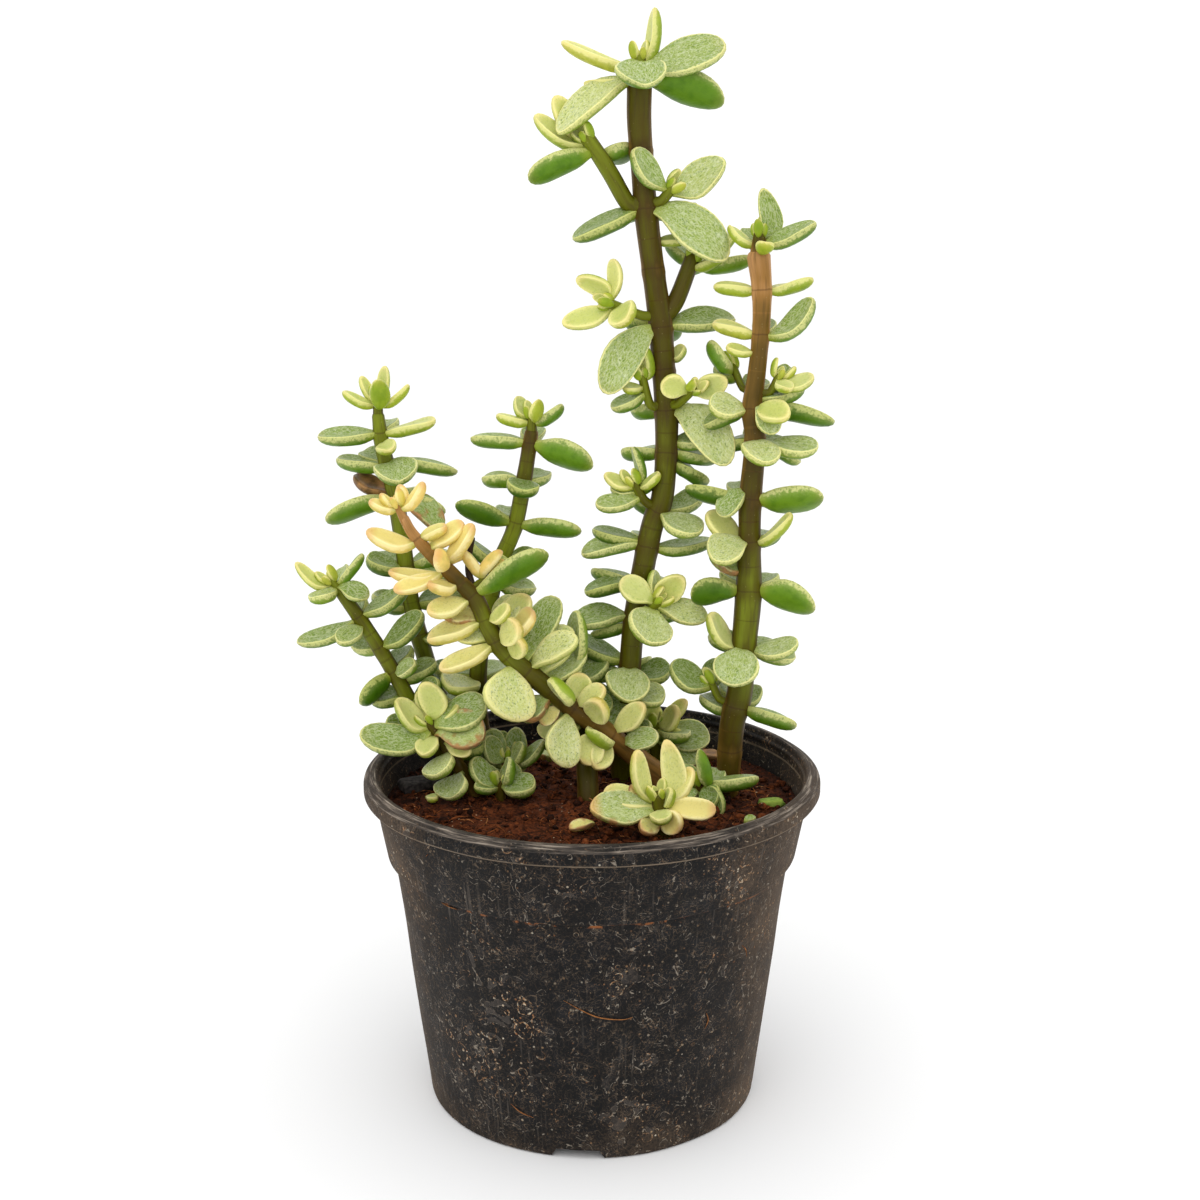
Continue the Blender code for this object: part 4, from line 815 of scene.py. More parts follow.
class LeafBuilder:
    """Adds fleshy blades to one mesh and marks each point with what its skin needs to know."""

    count = 0

    def __init__(self, settings):
        self.bm = bmesh.new()
        self.settings = settings
        layers = self.bm.verts.layers.float_vector
        self.blade = layers.new("blade")
        self.place = layers.new("place")
        self.nature = layers.new("nature")

    def add(self, route, leaf):
        """One blade that leaves a stem outwards, bends to its tip and faces up or forwards."""
        height, reach, width, turn, kind = leaf
        middle, along, radius = route_at(route, height)
        self.add_blade(middle, along, radius, Vector(reach), width, turn, kind)

    def add_blade(self, middle, along, radius, reach, width, turn, kind):
        """One blade from a place on a stem, shaped from a ball whose poles are its base and tip."""
        LeafBuilder.count += 1
        serial = LeafBuilder.count
        draw = random.Random(serial)
        tone, mottle, blush, decay, fullness = LEAF_KINDS[kind]
        tone += draw.uniform(-TONE_SPREAD, TONE_SPREAD)
        outward = (reach - along * reach.dot(along)).normalized()
        base = middle + outward * radius * SINK
        tip = middle + reach
        chord = tip - base
        bend = base + outward * LEAF_FLARE * chord.length
        lie = chord.normalized()
        upward = (along - lie * along.dot(lie)).normalized()
        front = FRONT - lie * FRONT.dot(lie) - upward * FRONT.dot(upward)
        front = Vector() if front.length < LEAST_TURN else front.normalized()
        angle = math.radians(turn)
        face = (upward * math.cos(angle) + front * math.sin(angle)).normalized()
        across = lie.cross(face).normalized()
        thickness = self.settings.thickness / MM * fullness
        thickness *= min(1.0, THICKNESS_GROWTH[0] + THICKNESS_GROWTH[1] * width)
        cup = draw.uniform(*CUP) * self.settings.cupping
        bow = draw.uniform(-BOW, BOW) * chord.length
        twist = draw.uniform(-TWIST, TWIST)
        wave = draw.uniform(*WAVE)
        phase = draw.uniform(0, 2 * math.pi)
        narrow = draw.uniform(*NECK_WIDTH)
        blunt = draw.uniform(*TIP_BLUNTNESS)
        stations = {}
        ball = bmesh.ops.create_uvsphere(
            self.bm, u_segments=LEAF_SIDES, v_segments=LEAF_RINGS, radius=1.0)
        for vert in ball["verts"]:
            x, y, z = vert.co
            level = round(z, 5)
            if level not in stations:
                share = (1 + z) / 2
                spine = base * (1 - share) ** 2 + bend * 2 * share * (1 - share) + tip * share ** 2
                heading = ((bend - base) * (1 - share) + (tip - bend) * share).normalized()
                side = Matrix.Rotation(twist * (share - TWIST_MIDDLE), 3, heading) @ across
                lift = side.cross(heading).normalized()
                spine += side * bow * 4 * share * (1 - share)
                stations[level] = (share, *blade_section(share, narrow, blunt), spine, side, lift)
            share, outline, depth, spine, side, lift = stations[level]
            ring = math.hypot(x, y)
            flat = x / ring if ring > ON_POLE else 0.0
            rise = y / ring if ring > ON_POLE else 0.0
            lateral = math.copysign(abs(flat) ** ROUNDNESS[0], flat)
            half = 0.5 * width * outline * (1 + wave * math.sin(WAVES[0] * share + phase + flat))
            body = thickness * depth
            if rise >= 0:
                dish = DISH_SHARE * (1 - lateral * lateral) * outline
                offset = body * (UPPER_SHARE * rise ** ROUNDNESS[1] - dish)
            else:
                offset = -body * UNDER_SHARE * (-rise) ** ROUNDNESS[2]
            offset += cup * width * outline * lateral * lateral
            offset += wave * width * WAVE_HEIGHT * lateral * math.sin(WAVES[1] * share + phase)
            vert.co = spine + side * lateral * half + lift * offset
            deep = serial * LEAF_APART + 0.5 * body * rise
            vert[self.blade] = Vector((lateral * half, share * chord.length, deep))
            vert[self.place] = Vector((rise * min(1.0, ring / TIP_MARGIN), share, decay))
            vert[self.nature] = Vector((min(max(tone, 0.0), 1.0), mottle, blush))

    def add_bud(self, route, kind):
        """Two closed pairs of very young leaves at the end of a twig."""
        before, end = (Vector(point[:3]) for point in route[-2:])
        along = (end - before).normalized()
        draw = random.Random(LeafBuilder.count)
        side = Matrix.Rotation(draw.uniform(0, math.pi), 3, along) @ side_of(along)
        young = "c" if kind == "c" else "y"
        for turn, length, width in BUD:
            lean = Matrix.Rotation(math.radians(turn), 3, along) @ side
            reach = (along * draw.uniform(*BUD_RISE) + lean * draw.uniform(*BUD_SPREAD)) * length
            foot = end - along * BUD_SUNK
            self.add_blade(foot, along, route[-1][3] / 4, reach, width, 0, young)

    def finish(self, name, nodes):
        """Turn the blades into one finished piece."""
        return finish_piece(name, self.bm, bpy.data.materials["fleshy_leaf_skin"], "leaf_skin", nodes)


def make_leaf_skin():
    """Fleshy leaf of a cream-edged succulent: waxy cuticle over pale, mottled flesh.

    The wax gives a soft broad gloss.  The upper face is silvery and finely veined, the underside is
    a clear green with a pale ragged border, and a cream line follows the rim between them.
    """
    surface, add, shader = new_material(
        "fleshy_leaf_skin", 0.36, 0.16, Subsurface_Weight=0.08, Subsurface_Scale=0.0015,
        Subsurface_Radius=(0.8, 1.0, 0.3))
    blade, place, nature = (add("Attribute", {"attribute_name": name}).outputs["Vector"]
                            for name in ("blade", "place", "nature"))
    side, share, decay = add("SeparateXYZ", None, place).outputs
    tone, mottle, blush = add("SeparateXYZ", None, nature).outputs
    under, upper, green, rim, pale = (add("ValToRGB", {"stops": stops}, tone) for stops in (
        ((0.0, "#3f620b"), (0.35, "#5f861b"), (0.7, "#9fb02e"), (1.0, "#ebcd72")),
        ((0.0, "#687d28"), (0.30, "#8a9d48"), (0.45, "#a8b368"), (0.58, "#d4d48c"),
         (0.70, "#ced074"), (0.82, "#dfdc8e"), (1.0, "#eedb84")),
        ((0.0, "#56721c"), (0.4, "#78942e"), (0.7, "#aabe54"), (1.0, "#dfca70")),
        ((0.0, "#c8ca76"), (0.35, "#e4e19a"), (0.7, "#efe89a"), (1.0, "#f9eaac")),
        ((0.0, "#b6bf96"), (0.4, "#dde3c4"), (0.7, "#ece9b8"), (1.0, "#f7e69c"))))

    # Blotches are 2 to 4 mm across, dark specks and pale flecks 0.4 mm, and vein cells 0.6 mm wide.
    blotch = add("TexNoise", None, blade, Scale=0.38, Detail=3.0)
    speck = add("TexNoise", None, blade, Scale=1.9, Detail=2.0, Roughness=0.6)
    rayed = add("Mapping", None, blade, Scale=(1.0, 0.62, 1.0))
    fleck = add("TexNoise", None, rayed, Scale=1.2, Detail=3.0, Roughness=0.62)
    wander = add("TexNoise", None, blade, Scale=1.2, Detail=2.0)
    drawn_out = add("Mapping", None, blade, Scale=(1.0, 0.45, 1.0))
    drawn_out = add("VectorMath", TIMES_PLUS, wander.outputs["Color"], (0.9, 0.9, 0.0), drawn_out)
    veins = add("TexVoronoi", EDGES, drawn_out, Scale=1.7)
    ragged = add("Math", TIMES_PLUS, speck, 0.5, -0.25)
    ragged_side = add("Math", PLUS, side, ragged)
    pale_level = add("Math", TIMES_PLUS, side, -0.10, fleck)
    uneven = add("Math", TIMES_PLUS, fleck, 1.1, -0.55)
    uneven_side = add("Math", PLUS, uneven, side)
    inward = add("Math", SIZE, side)
    decayed = add("Math", TIMES_PLUS, blotch, 0.8, decay)
    decayed = add("Math", TIMES_PLUS, inward, -0.3, decayed)

    # Each mask fades in from one level of what it follows to another, up to its strength.
    mask = {name: add("MapRange", SMOOTH, follows, start, full, 0.0, strength)
            for name, follows, start, full, strength in (
        ("young", tone, 0.45, 0.7, 1.0), ("blotch", blotch, 0.48, 0.66, 0.55),
        ("middle", side, 0.70, 1.0, 0.30), ("dark", speck, 0.55, 0.66, 0.7),
        ("pale", pale_level, 0.38, 0.62, 0.42), ("vein", veins, 0.14, 0.02, 0.42),
        ("margin", ragged_side, 0.88, 0.50, 0.8), ("old margin", ragged_side, 0.56, 0.38, 0.75),
        ("edge line", ragged_side, 0.84, 0.62, 0.25), ("shade", blotch, 0.42, 0.7, 0.45),
        ("light side", ragged_side, -0.75, 0.1, 0.6), ("border", uneven_side, -0.34, -0.06, 0.6),
        ("dashes", speck, 0.52, 0.62, 0.5), ("near rim", ragged_side, -0.45, -0.10, 1.0),
        ("over", side, 0.26, 0.36, 1.0), ("rim", side, 0.18, 0.28, 1.0),
        ("under rim", side, 0.46, 0.36, 1.0), ("neck", share, 0.34, 0.08, 0.55),
        ("tip", share, 0.84, 1.0, 0.7), ("decayed", decayed, 0.62, 0.86, 0.9))}
    old = add("Math", {"operation": "SUBTRACT", "use_clamp": True}, 1.0, mask["young"])
    for name, only_where in (
            ("dark", mottle), ("pale", mottle), ("vein", mottle), ("margin", mask["young"]),
            ("edge line", old), ("dashes", mask["near rim"]), ("dashes", old),
            ("rim", mask["under rim"]), ("rim", 0.75), ("tip", blush)):
        mask[name] = add("Math", TIMES, mask[name], only_where)
    greener = add("Math", LARGER, mask["blotch"], mask["middle"])
    margin = add("Math", LARGER, mask["margin"], mask["old margin"])

    face = lay_coats(add, upper, (
        (greener, green), (mask["pale"], pale), (mask["dark"], "#4d6c20"), (mask["vein"], "#dce1bb"),
        (mask["edge line"], "#6c8838"), (margin, rim)))
    # The underside is darker along its middle and yellower, with dark dashes, beside the rim.
    yellower = lay_coats(add, under, ((0.45, rim),))
    darker = lay_coats(add, under, ((1.0, "#a9c38a"),), "MULTIPLY")
    back = lay_coats(add, under, (
        (mask["shade"], darker), (mask["light side"], yellower), (mask["border"], rim),
        (mask["dashes"], darker)))
    withered = add("ValToRGB", {"stops": ((0.38, "#6e4630"), (0.62, "#b07a4c"))}, blotch)
    colour = lay_coats(add, back, (
        (mask["over"], face), (mask["rim"], rim), (mask["neck"], "#9ca638"), (mask["tip"], "#d8a05e"),
        (mask["decayed"], withered)))
    height = add("Math", TIMES_PLUS, veins, 0.5, speck)
    bump = add("Bump", None, Strength=0.22, Distance=0.0003, Height=height)
    fill(shader, {"Base Color": colour, "Normal": bump})
    return surface


# ---- stems -------------------------------------------------------------------------------------
def near_node(distance, place):
    """How strongly a ring or groove shows at a distance above the leaves of its node."""
    below, width = place
    return math.exp(-((distance + below) / width) ** 2)


def add_stem(bm, marks, route, nodes, brown, sides, serial):
    """One living stem: its skin swells into a ring at each node and is scarred just above it."""
    run, skin = marks
    settings = bpy.context.scene.plant_stems
    smooth = smooth_route(route, STEM_STEP)
    stations = []
    facts = []
    length = 0.0
    last = len(smooth) - 1
    for i, point in enumerate(smooth):
        if i:
            length += (point.xyz - smooth[i - 1].xyz).length
        nearest = min((point.z - z for z in nodes), key=abs, default=NODE_REACH)
        nearest = min(max(nearest, -NODE_REACH), NODE_REACH)
        swell = settings.ring_height * near_node(nearest, RING_PLACE)
        groove = GROOVE_DEPTH * near_node(nearest, GROOVE_PLACE)
        place = length * WOBBLE_CLOSENESS + serial * 9
        wobble = STEM_WOBBLE * noise.noise(Vector((0, 0, place)))
        radius = point.w / 2 * (1 + swell - groove + wobble)
        stations.append((point.xyz, heading_at(smooth, i), radius))
        place = i / last * (len(brown) - 1)
        low = min(int(place), len(brown) - 2)
        facts.append((length, brown[low] + (brown[low + 1] - brown[low]) * (place - low), nearest))
    end_middle, end_along, end_radius = stations[-1]
    for dome, shrink in STEM_DOME:
        stations.append((end_middle + end_along * end_radius * dome, end_along, end_radius * shrink))
        facts.append(facts[-1])
    rings = tube(bm, stations, sides)
    for ring, (middle, _, _), (length, browning, nearest) in zip(rings, stations, facts):
        for vert in ring:
            out = (vert.co - middle).normalized()
            around = STEM_MEAN_RADIUS * math.atan2(out.x, -out.y)
            vert[run] = Vector((around, length, serial * STEM_APART))
            # The skin's third mark is how far it faces sideways from the front; the skin paints shade
            # on the flanks with it.
            vert[skin] = Vector((browning, nearest, abs(out.x)))


def shoot_foot(name, route):
    """A point inside the stem, or under the skin of the stem's end, that a shoot grows from."""
    first, second = route[0], route[1]
    if name in SHOOT_STEMS:
        stem, height = SHOOT_STEMS[name]
        middle, _, _ = route_at(STEMS[stem][0], height)
        return (*middle, first[3])
    down = (Vector(first[:3]) - Vector(second[:3])).normalized()
    return (*(Vector(first[:3]) + down * SHOOT_ROOT), first[3])


def new_stem_mesh():
    """An empty mesh with the two marks that the stem skin reads."""
    bm = bmesh.new()
    return bm, (bm.verts.layers.float_vector.new("run"), bm.verts.layers.float_vector.new("skin"))


def make_stem_skin():
    """Young succulent bark: smooth green skin that browns with age, dark node rings, painted shade on
    the flanks.
    """
    surface, add, shader = new_material("succulent_stem_skin", 0.42, 0.14)
    run = add("Attribute", {"attribute_name": "run"}).outputs["Vector"]
    skin = add("SeparateXYZ", None, add("Attribute", {"attribute_name": "skin"}).outputs["Vector"])
    browning, from_node, flank = skin.outputs
    place = axis_millimetres(add)
    # Streaks are 0.6 mm wide and 8 mm long; patches are 3 mm wide and 20 mm long.
    long_run = add("Mapping", None, run, Scale=(0.35, 0.05, 1.0))
    patches = add("TexNoise", None, long_run, Scale=1.0, Detail=2.0)
    drawn_out = add("Mapping", None, run, Scale=(1.7, 0.13, 1.0))
    streaks = add("TexNoise", None, drawn_out, Scale=1.0, Detail=2.0)
    specks = add("TexVoronoi", None, place, Scale=0.55)

    # Painted shade: the flanks to either side of the front are painted browner and darker.
    flank_painted_shade = add("MapRange", SMOOTH, flank, 0.62, 1.0, 0.0, 0.34)
    patch_brown = add("Math", TIMES_PLUS, patches, 0.6, -0.3)
    age_and_flank_shade = add("Math", PLUS, browning, flank_painted_shade)
    age_and_flank_shade = add("Math", PLUS, age_and_flank_shade, patch_brown)
    node_gap = add("Math", SIZE, from_node)
    node_brown = add("MapRange", SMOOTH, node_gap, 4.0, 0.5, 0.0, 0.12)
    age_and_flank_shade = add("Math", PLUS, age_and_flank_shade, node_brown)
    age_and_flank_shade = add("Math", TIMES, age_and_flank_shade, 0.7)
    base = add("ValToRGB", {"stops": (
        (0.0, "#747e1a"), (0.2, "#545208"), (0.42, "#47380c"), (0.62, "#6b511f"),
        (0.85, "#956c36"), (1.0, "#b98a58"))}, age_and_flank_shade)
    streak_mask = add("MapRange", SMOOTH, streaks, 0.5, 0.75, 0.0, 0.45)
    speck_mask = add("MapRange", SMOOTH, specks, 0.10, 0.04, 0.0, 0.4)
    ragged = add("Math", TIMES_PLUS, patches, 0.9, from_node)
    scar_mask = line_where(add, ragged, 0.8, 0.34, 0.12, 0.42)
    dead = add("MapRange", None, browning, 1.7, 1.9)
    colour = lay_coats(add, base, (
        (streak_mask, "#43361a"), (speck_mask, "#a39568"), (scar_mask, "#3a2411"), (dead, "#32241a")))
    bump = add("Bump", None, Strength=0.3, Distance=0.0003, Height=streaks)
    fill(shader, {"Base Color": colour, "Normal": bump})
    return surface


def stem_of(tier):
    """Name of the stem that a tier of leaves is named after."""
    return tier.split("_leaves")[0] + "_stem"


def node_heights(stem, route):
    """Heights of a stem's nodes: where its leaves stand, and spaced evenly where it is bare."""
    tiers = (at_nodes for name, (at_nodes, _) in TIERS.items() if stem_of(name) == stem)
    held = {leaf[0] for leaves in tiers for leaf in leaves}
    heights = []
    for height in sorted(held):
        if not heights or height - heights[-1] > NODE_MERGE:
            heights.append(height)
    low = MIX_TOP / MM
    found = []
    for height in heights + [route[-1][2]]:
        gap = height - low
        extra = int(gap / NODE_SPACING)
        found += [low + gap * (i + 1) / (extra + 1) for i in range(extra)]
        if height in heights:
            found.append(height)
        low = height
    return found


# ---- potting mix -------------------------------------------------------------------------------
def mix_height(x, y):
    """Height of the loose surface of the mix at a place round the axis."""
    radius = math.hypot(x, y)
    crown = SOIL_CROWN * (1 - min(radius / CROWN_RADIUS, 1.0) * CROWN_FALL)
    crown *= 1 - smoothstep(CROWN_RADIUS, SOIL_RADIUS, radius)
    place = Vector((x, y, 0))
    lumps, grains = (sum(height * noise.noise(place * closeness) for height, closeness in layers)
                     for layers in (SOIL_LUMPS, SOIL_GRAIN))
    edge = smoothstep(SOIL_RADIUS, SOIL_RADIUS - SOIL_EDGE_WIDTH, radius)
    return SOIL_EDGE_Z + crown + lumps * edge + grains - SOIL_EDGE_DIP * (1 - edge)


def make_mix_surface():
    """Coir potting mix: crumbs of husk and pith, with painted shade in the hollows and between the
    clods.
    """
    surface, add, shader = new_material("coir_potting_mix", 0.95, 0.12)
    place = axis_millimetres(add)
    shade = add("Attribute", {"attribute_name": "shade"}).outputs["Fac"]
    lumps = add("TexNoise", None, place, Scale=0.16, Detail=4.0)
    crumbs = add("TexNoise", None, place, Scale=1.1, Detail=4.0, Roughness=0.65)
    wandering = add("VectorMath", TIMES_PLUS, crumbs.outputs["Color"], (2.6, 2.6, 2.6), place)
    dust = add("TexVoronoi", None, place, Scale=0.5)
    picked = add("SeparateXYZ", None, dust.outputs["Color"])
    # The shade mark is each crumb's and fibre's own tone, and painted shade on the surface that darkens
    # its hollows.
    tone = add("Math", TIMES_PLUS, crumbs, 0.95, shade)
    tone = add("Math", TIMES_PLUS, lumps, 0.35, tone)
    tone = add("Math", MINUS, tone, 0.66)
    base = add("ValToRGB", {"stops": (
        (0.0, "#140804"), (0.3, "#381a0d"), (0.55, "#68351a"), (0.8, "#95552b"),
        (1.0, "#c68854"))}, tone)
    # Painted shade: the gaps between clods are painted near black where the lumps allow.
    clods = add("TexVoronoi", EDGES, wandering, Scale=0.3)
    gap = add("MapRange", SMOOTH, clods, 0.14, 0.02, 0.0, 0.75)
    gap_shade_kept = add("MapRange", SMOOTH, lumps, 0.42, 0.54)
    gap = add("Math", TIMES, gap, gap_shade_kept)
    dust_mask = add("MapRange", SMOOTH, dust, 0.16, 0.08, 0.0, 0.9)
    dust_kept = add("Math", OVER, picked.outputs[0], 0.72)
    dust_mask = add("Math", TIMES, dust_mask, dust_kept)
    colour = lay_coats(add, base, ((gap, "#120905"), (dust_mask, "#cdb394")))
    bump = add("Bump", None, Strength=0.8, Distance=0.0006, Height=crumbs)
    fill(shader, {"Base Color": colour, "Normal": bump})
    return surface


def scatter_place(draw, radius):
    """A place inside a circle, spread evenly over its area."""
    angle = draw.uniform(0, 2 * math.pi)
    reach = radius * math.sqrt(draw.random())
    return reach * math.cos(angle), reach * math.sin(angle)


def scatter(bm, count, make_one):
    """Make many small loose things in batches, which is quicker than in one growing mesh."""
    while count > 0:
        loose = bmesh.new()
        tint_layer = loose.verts.layers.float.new("shade")
        for _ in range(min(count, BATCH)):
            make_one(loose, tint_layer)
        batch = bpy.data.meshes.new("batch")
        loose.to_mesh(batch)
        loose.free()
        bm.from_mesh(batch)
        bpy.data.meshes.remove(batch)
        count -= BATCH


def add_crumb(draw, largest, bm, shade_layer):
    """One lumpy crumb, turned and stretched at random, that lies half sunk in the mix."""
    x, y = scatter_place(draw, SOIL_RADIUS - CRUMB_MARGIN)
    size = largest * (CRUMB_LEAST + (1 - CRUMB_LEAST) * draw.random() ** CRUMB_RARITY)
    tint = draw.uniform(*CRUMB_SHADE)
    lump = bmesh.ops.create_icosphere(bm, subdivisions=1, radius=size / 2)["verts"]
    for vert in lump:
        vert.co *= draw.uniform(*CRUMB_LUMPS)
        vert[shade_layer] = tint
    turn = Matrix.Rotation(draw.uniform(0, CRUMB_TURN), 4, "Z")
    turn = turn @ Matrix.Rotation(draw.uniform(0, CRUMB_TURN), 4, "X")
    stretch = Matrix.Diagonal((draw.uniform(*CRUMB_LENGTH), 1.0, draw.uniform(*CRUMB_HEIGHT), 1.0))
    centre = Matrix.Translation((x, y, mix_height(x, y) + size * draw.uniform(*CRUMB_RISE)))
    bmesh.ops.transform(bm, matrix=centre @ turn @ stretch, verts=lump)


def add_fibre(draw, bm, shade_layer):
    """One curling husk fibre that lies on the mix, drawn as a thin tapered tube."""
    x, y = scatter_place(draw, SOIL_RADIUS - FIBRE_MARGIN)
    angle = draw.uniform(0, 2 * math.pi)
    length = draw.uniform(*FIBRE_LENGTH)
    thick = draw.uniform(*FIBRE_THICK)
    shade = draw.uniform(*FIBRE_SHADE)
    bend = draw.uniform(-FIBRE_BEND, FIBRE_BEND)
    spot = Vector((x, y, 0))
    heading = Vector((math.cos(angle), math.sin(angle), 0))
    stations = []
    for i in range(FIBRE_STEPS + 1):
        share = i / FIBRE_STEPS
        arch = FIBRE_ARCH * math.sin(math.pi * share)
        spot.z = mix_height(spot.x, spot.y) + thick * FIBRE_CLEAR + arch
        taper = 1 - FIBRE_TAPER * abs(2 * share - 1)
        stations.append((spot.copy(), heading.copy(), thick / 2 * taper))
        heading = (Matrix.Rotation(bend, 3, "Z") @ heading).normalized()
        spot = spot + heading * length / FIBRE_STEPS
    for ring in tube(bm, stations, FIBRE_SIDES):
        for vert in ring:
            vert[shade_layer] = shade


# ---- pot ---------------------------------------------------------------------------------------
def rounded(points):
    """A profile whose inner corners are cut with short arcs, as a mould leaves them."""
    made = [points[0]]
    for before, here, after in zip(points, points[1:], points[2:]):
        a, b, c = (Vector((*point, 0.0)) for point in (before, here, after))
        reach = min(MOULD_CORNER, (a - b).length * CORNER_SHARE, (c - b).length * CORNER_SHARE)
        start = b + (a - b).normalized() * reach
        end = b + (c - b).normalized() * reach
        for i in range(CORNER_STEPS + 1):
            t = i / CORNER_STEPS
            arc = start * (1 - t) ** 2 + b * 2 * t * (1 - t) + end * t ** 2
            made.append((arc.x, arc.y))
    return made + [points[-1]]


def cut_away(bm, cutter):
    """Take one closed mesh away from another."""
    objects = []
    for name, part in (("blank", bm), ("cutter", cutter)):
        mesh = bpy.data.meshes.new(name)
        bmesh.ops.recalc_face_normals(part, faces=part.faces[:])
        part.to_mesh(mesh)
        part.free()
        objects.append(bpy.data.objects.new(name, mesh))
        bpy.context.scene.collection.objects.link(objects[-1])
    blank, tool = objects
    step = blank.modifiers.new("cut", "BOOLEAN")
    step.operation = "DIFFERENCE"
    step.solver = "EXACT"
    step.object = tool
    graph = bpy.context.evaluated_depsgraph_get()
    result = bmesh.new()
    result.from_mesh(blank.evaluated_get(graph).to_mesh())
    for item in objects:
        mesh = item.data
        bpy.data.objects.remove(item)
        bpy.data.meshes.remove(mesh)
    return result


def make_pot_mesh(waviness):
    """Turned pot with its notches and drain holes cut and its wall pushed in unevenly."""
    bm = bmesh.new()
    turn_profile(bm, rounded(POT_PROFILE), POT_SIDES)
    long_walls = [edge for edge in bm.edges
                  if abs(edge.verts[0].co.z - edge.verts[1].co.z) > TALL_WALL]
    bmesh.ops.subdivide_edges(bm, edges=long_walls, cuts=WALL_CUTS, use_grid_fill=True)

    cutter = bmesh.new()
    for i in range(NOTCH_COUNT):
        turn = Matrix.Rotation(math.radians(FIRST_NOTCH + 360 * i / NOTCH_COUNT), 4, "Z")
        block = bmesh.ops.create_cube(cutter, size=1.0)["verts"]
        for vert in block:
            top = vert.co.z > 0
            width = NOTCH_WIDTH / 2 + (-NOTCH_SLANT if top else NOTCH_SLANT)
            vert.co = Vector((NOTCH_RADII[vert.co.x > 0], math.copysign(width, vert.co.y),
                              NOTCH_HEIGHT if top else NOTCH_FOOT))
        bmesh.ops.transform(cutter, matrix=turn, verts=block)
    for i in range(DRAIN_COUNT):
        angle = 2 * math.pi * (i + 0.5) / DRAIN_COUNT
        middle = (DRAIN_CIRCLE * math.cos(angle), DRAIN_CIRCLE * math.sin(angle), DRAIN_MIDDLE)
        bmesh.ops.create_cone(
            cutter, cap_ends=True, segments=DRAIN_SIDES, radius1=DRAIN_RADIUS,
            radius2=DRAIN_RADIUS, depth=DRAIN_DEPTH, matrix=Matrix.Translation(middle))
    bm = cut_away(bm, cutter)
    for vert in bm.verts:
        radius = math.hypot(vert.co.x, vert.co.y)
        if radius > FLOOR_EDGE:
            place = Vector((vert.co.x, vert.co.y, vert.co.z * PUSH_SQUEEZE))
            dent = max(0.0, PUSH_EVEN + noise.noise(place * PUSH_CLOSENESS))
            factor = 1 - waviness / MM * dent / radius
            vert.co.x *= factor
            vert.co.y *= factor
    return bm


def add_wall_fibre(bm, bends):
    """One tapered husk fibre that lies on the wall."""
    route = []
    for around, z in bends:
        radius = WALL_FOOT[0] + (z - WALL_FOOT[1]) * WALL_LEAN
        angle = around / ROUND
        route.append((radius * math.sin(angle), -radius * math.cos(angle), z, WALL_FIBRE))
    smooth = smooth_route(route, WALL_FIBRE_STEP)
    last = len(smooth) - 1
    stations = []
    for i, point in enumerate(smooth):
        taper = WALL_FIBRE_END + (1 - WALL_FIBRE_END) * math.sin(math.pi * i / last)
        stations.append((point.xyz, heading_at(smooth, i), point.w / 2 * taper))
    tube(bm, stations, WALL_FIBRE_SIDES)


def curl_mask(add, place, patch):
    """Mask of clinging husk curls: broken rings 1.3, 3 and 6 mm across, drawn 0.2 mm wide."""
    curls = 0.0
    for scale, width, chance in ((0.55, 0.07, 0.78), (0.24, 0.035, 0.55), (0.12, 0.02, 0.5)):
        cells = add("TexVoronoi", None, place, Scale=scale)
        off = add("Math", MINUS, cells.outputs["Distance"], 0.535)
        off = add("Math", TIMES_PLUS, patch, 0.35, off)
        off = add("Math", SIZE, off)
        curl = add("MapRange", SMOOTH, off, width, width * 0.3)
        pick = add("SeparateXYZ", None, cells.outputs["Color"])
        kept = add("Math", OVER, pick.outputs[0], chance)
        curl = add("Math", TIMES, curl, kept)
        curls = add("Math", LARGER, curls, curl)
    return curls


def grit_coat(add, place):
    """Mask and colour of clinging grit, 0.2 to 0.5 mm across, on one cell in five."""
    grit = add("TexVoronoi", None, place, Scale=0.85)
    pick = add("SeparateXYZ", None, grit.outputs["Color"])
    reach = add("MapRange", None, pick.outputs[0], 0.72, 1.0, 0.0, 0.34)
    within = add("Math", MINUS, reach, grit.outputs["Distance"])
    mask = add("MapRange", SMOOTH, within, 0.0, 0.07, 0.0, 0.9)
    return mask, add("ValToRGB", {"stops": (
        (0.0, "#8f5c38"), (0.45, "#a98a66"), (1.0, "#d6ccb8"))}, pick.outputs[1])


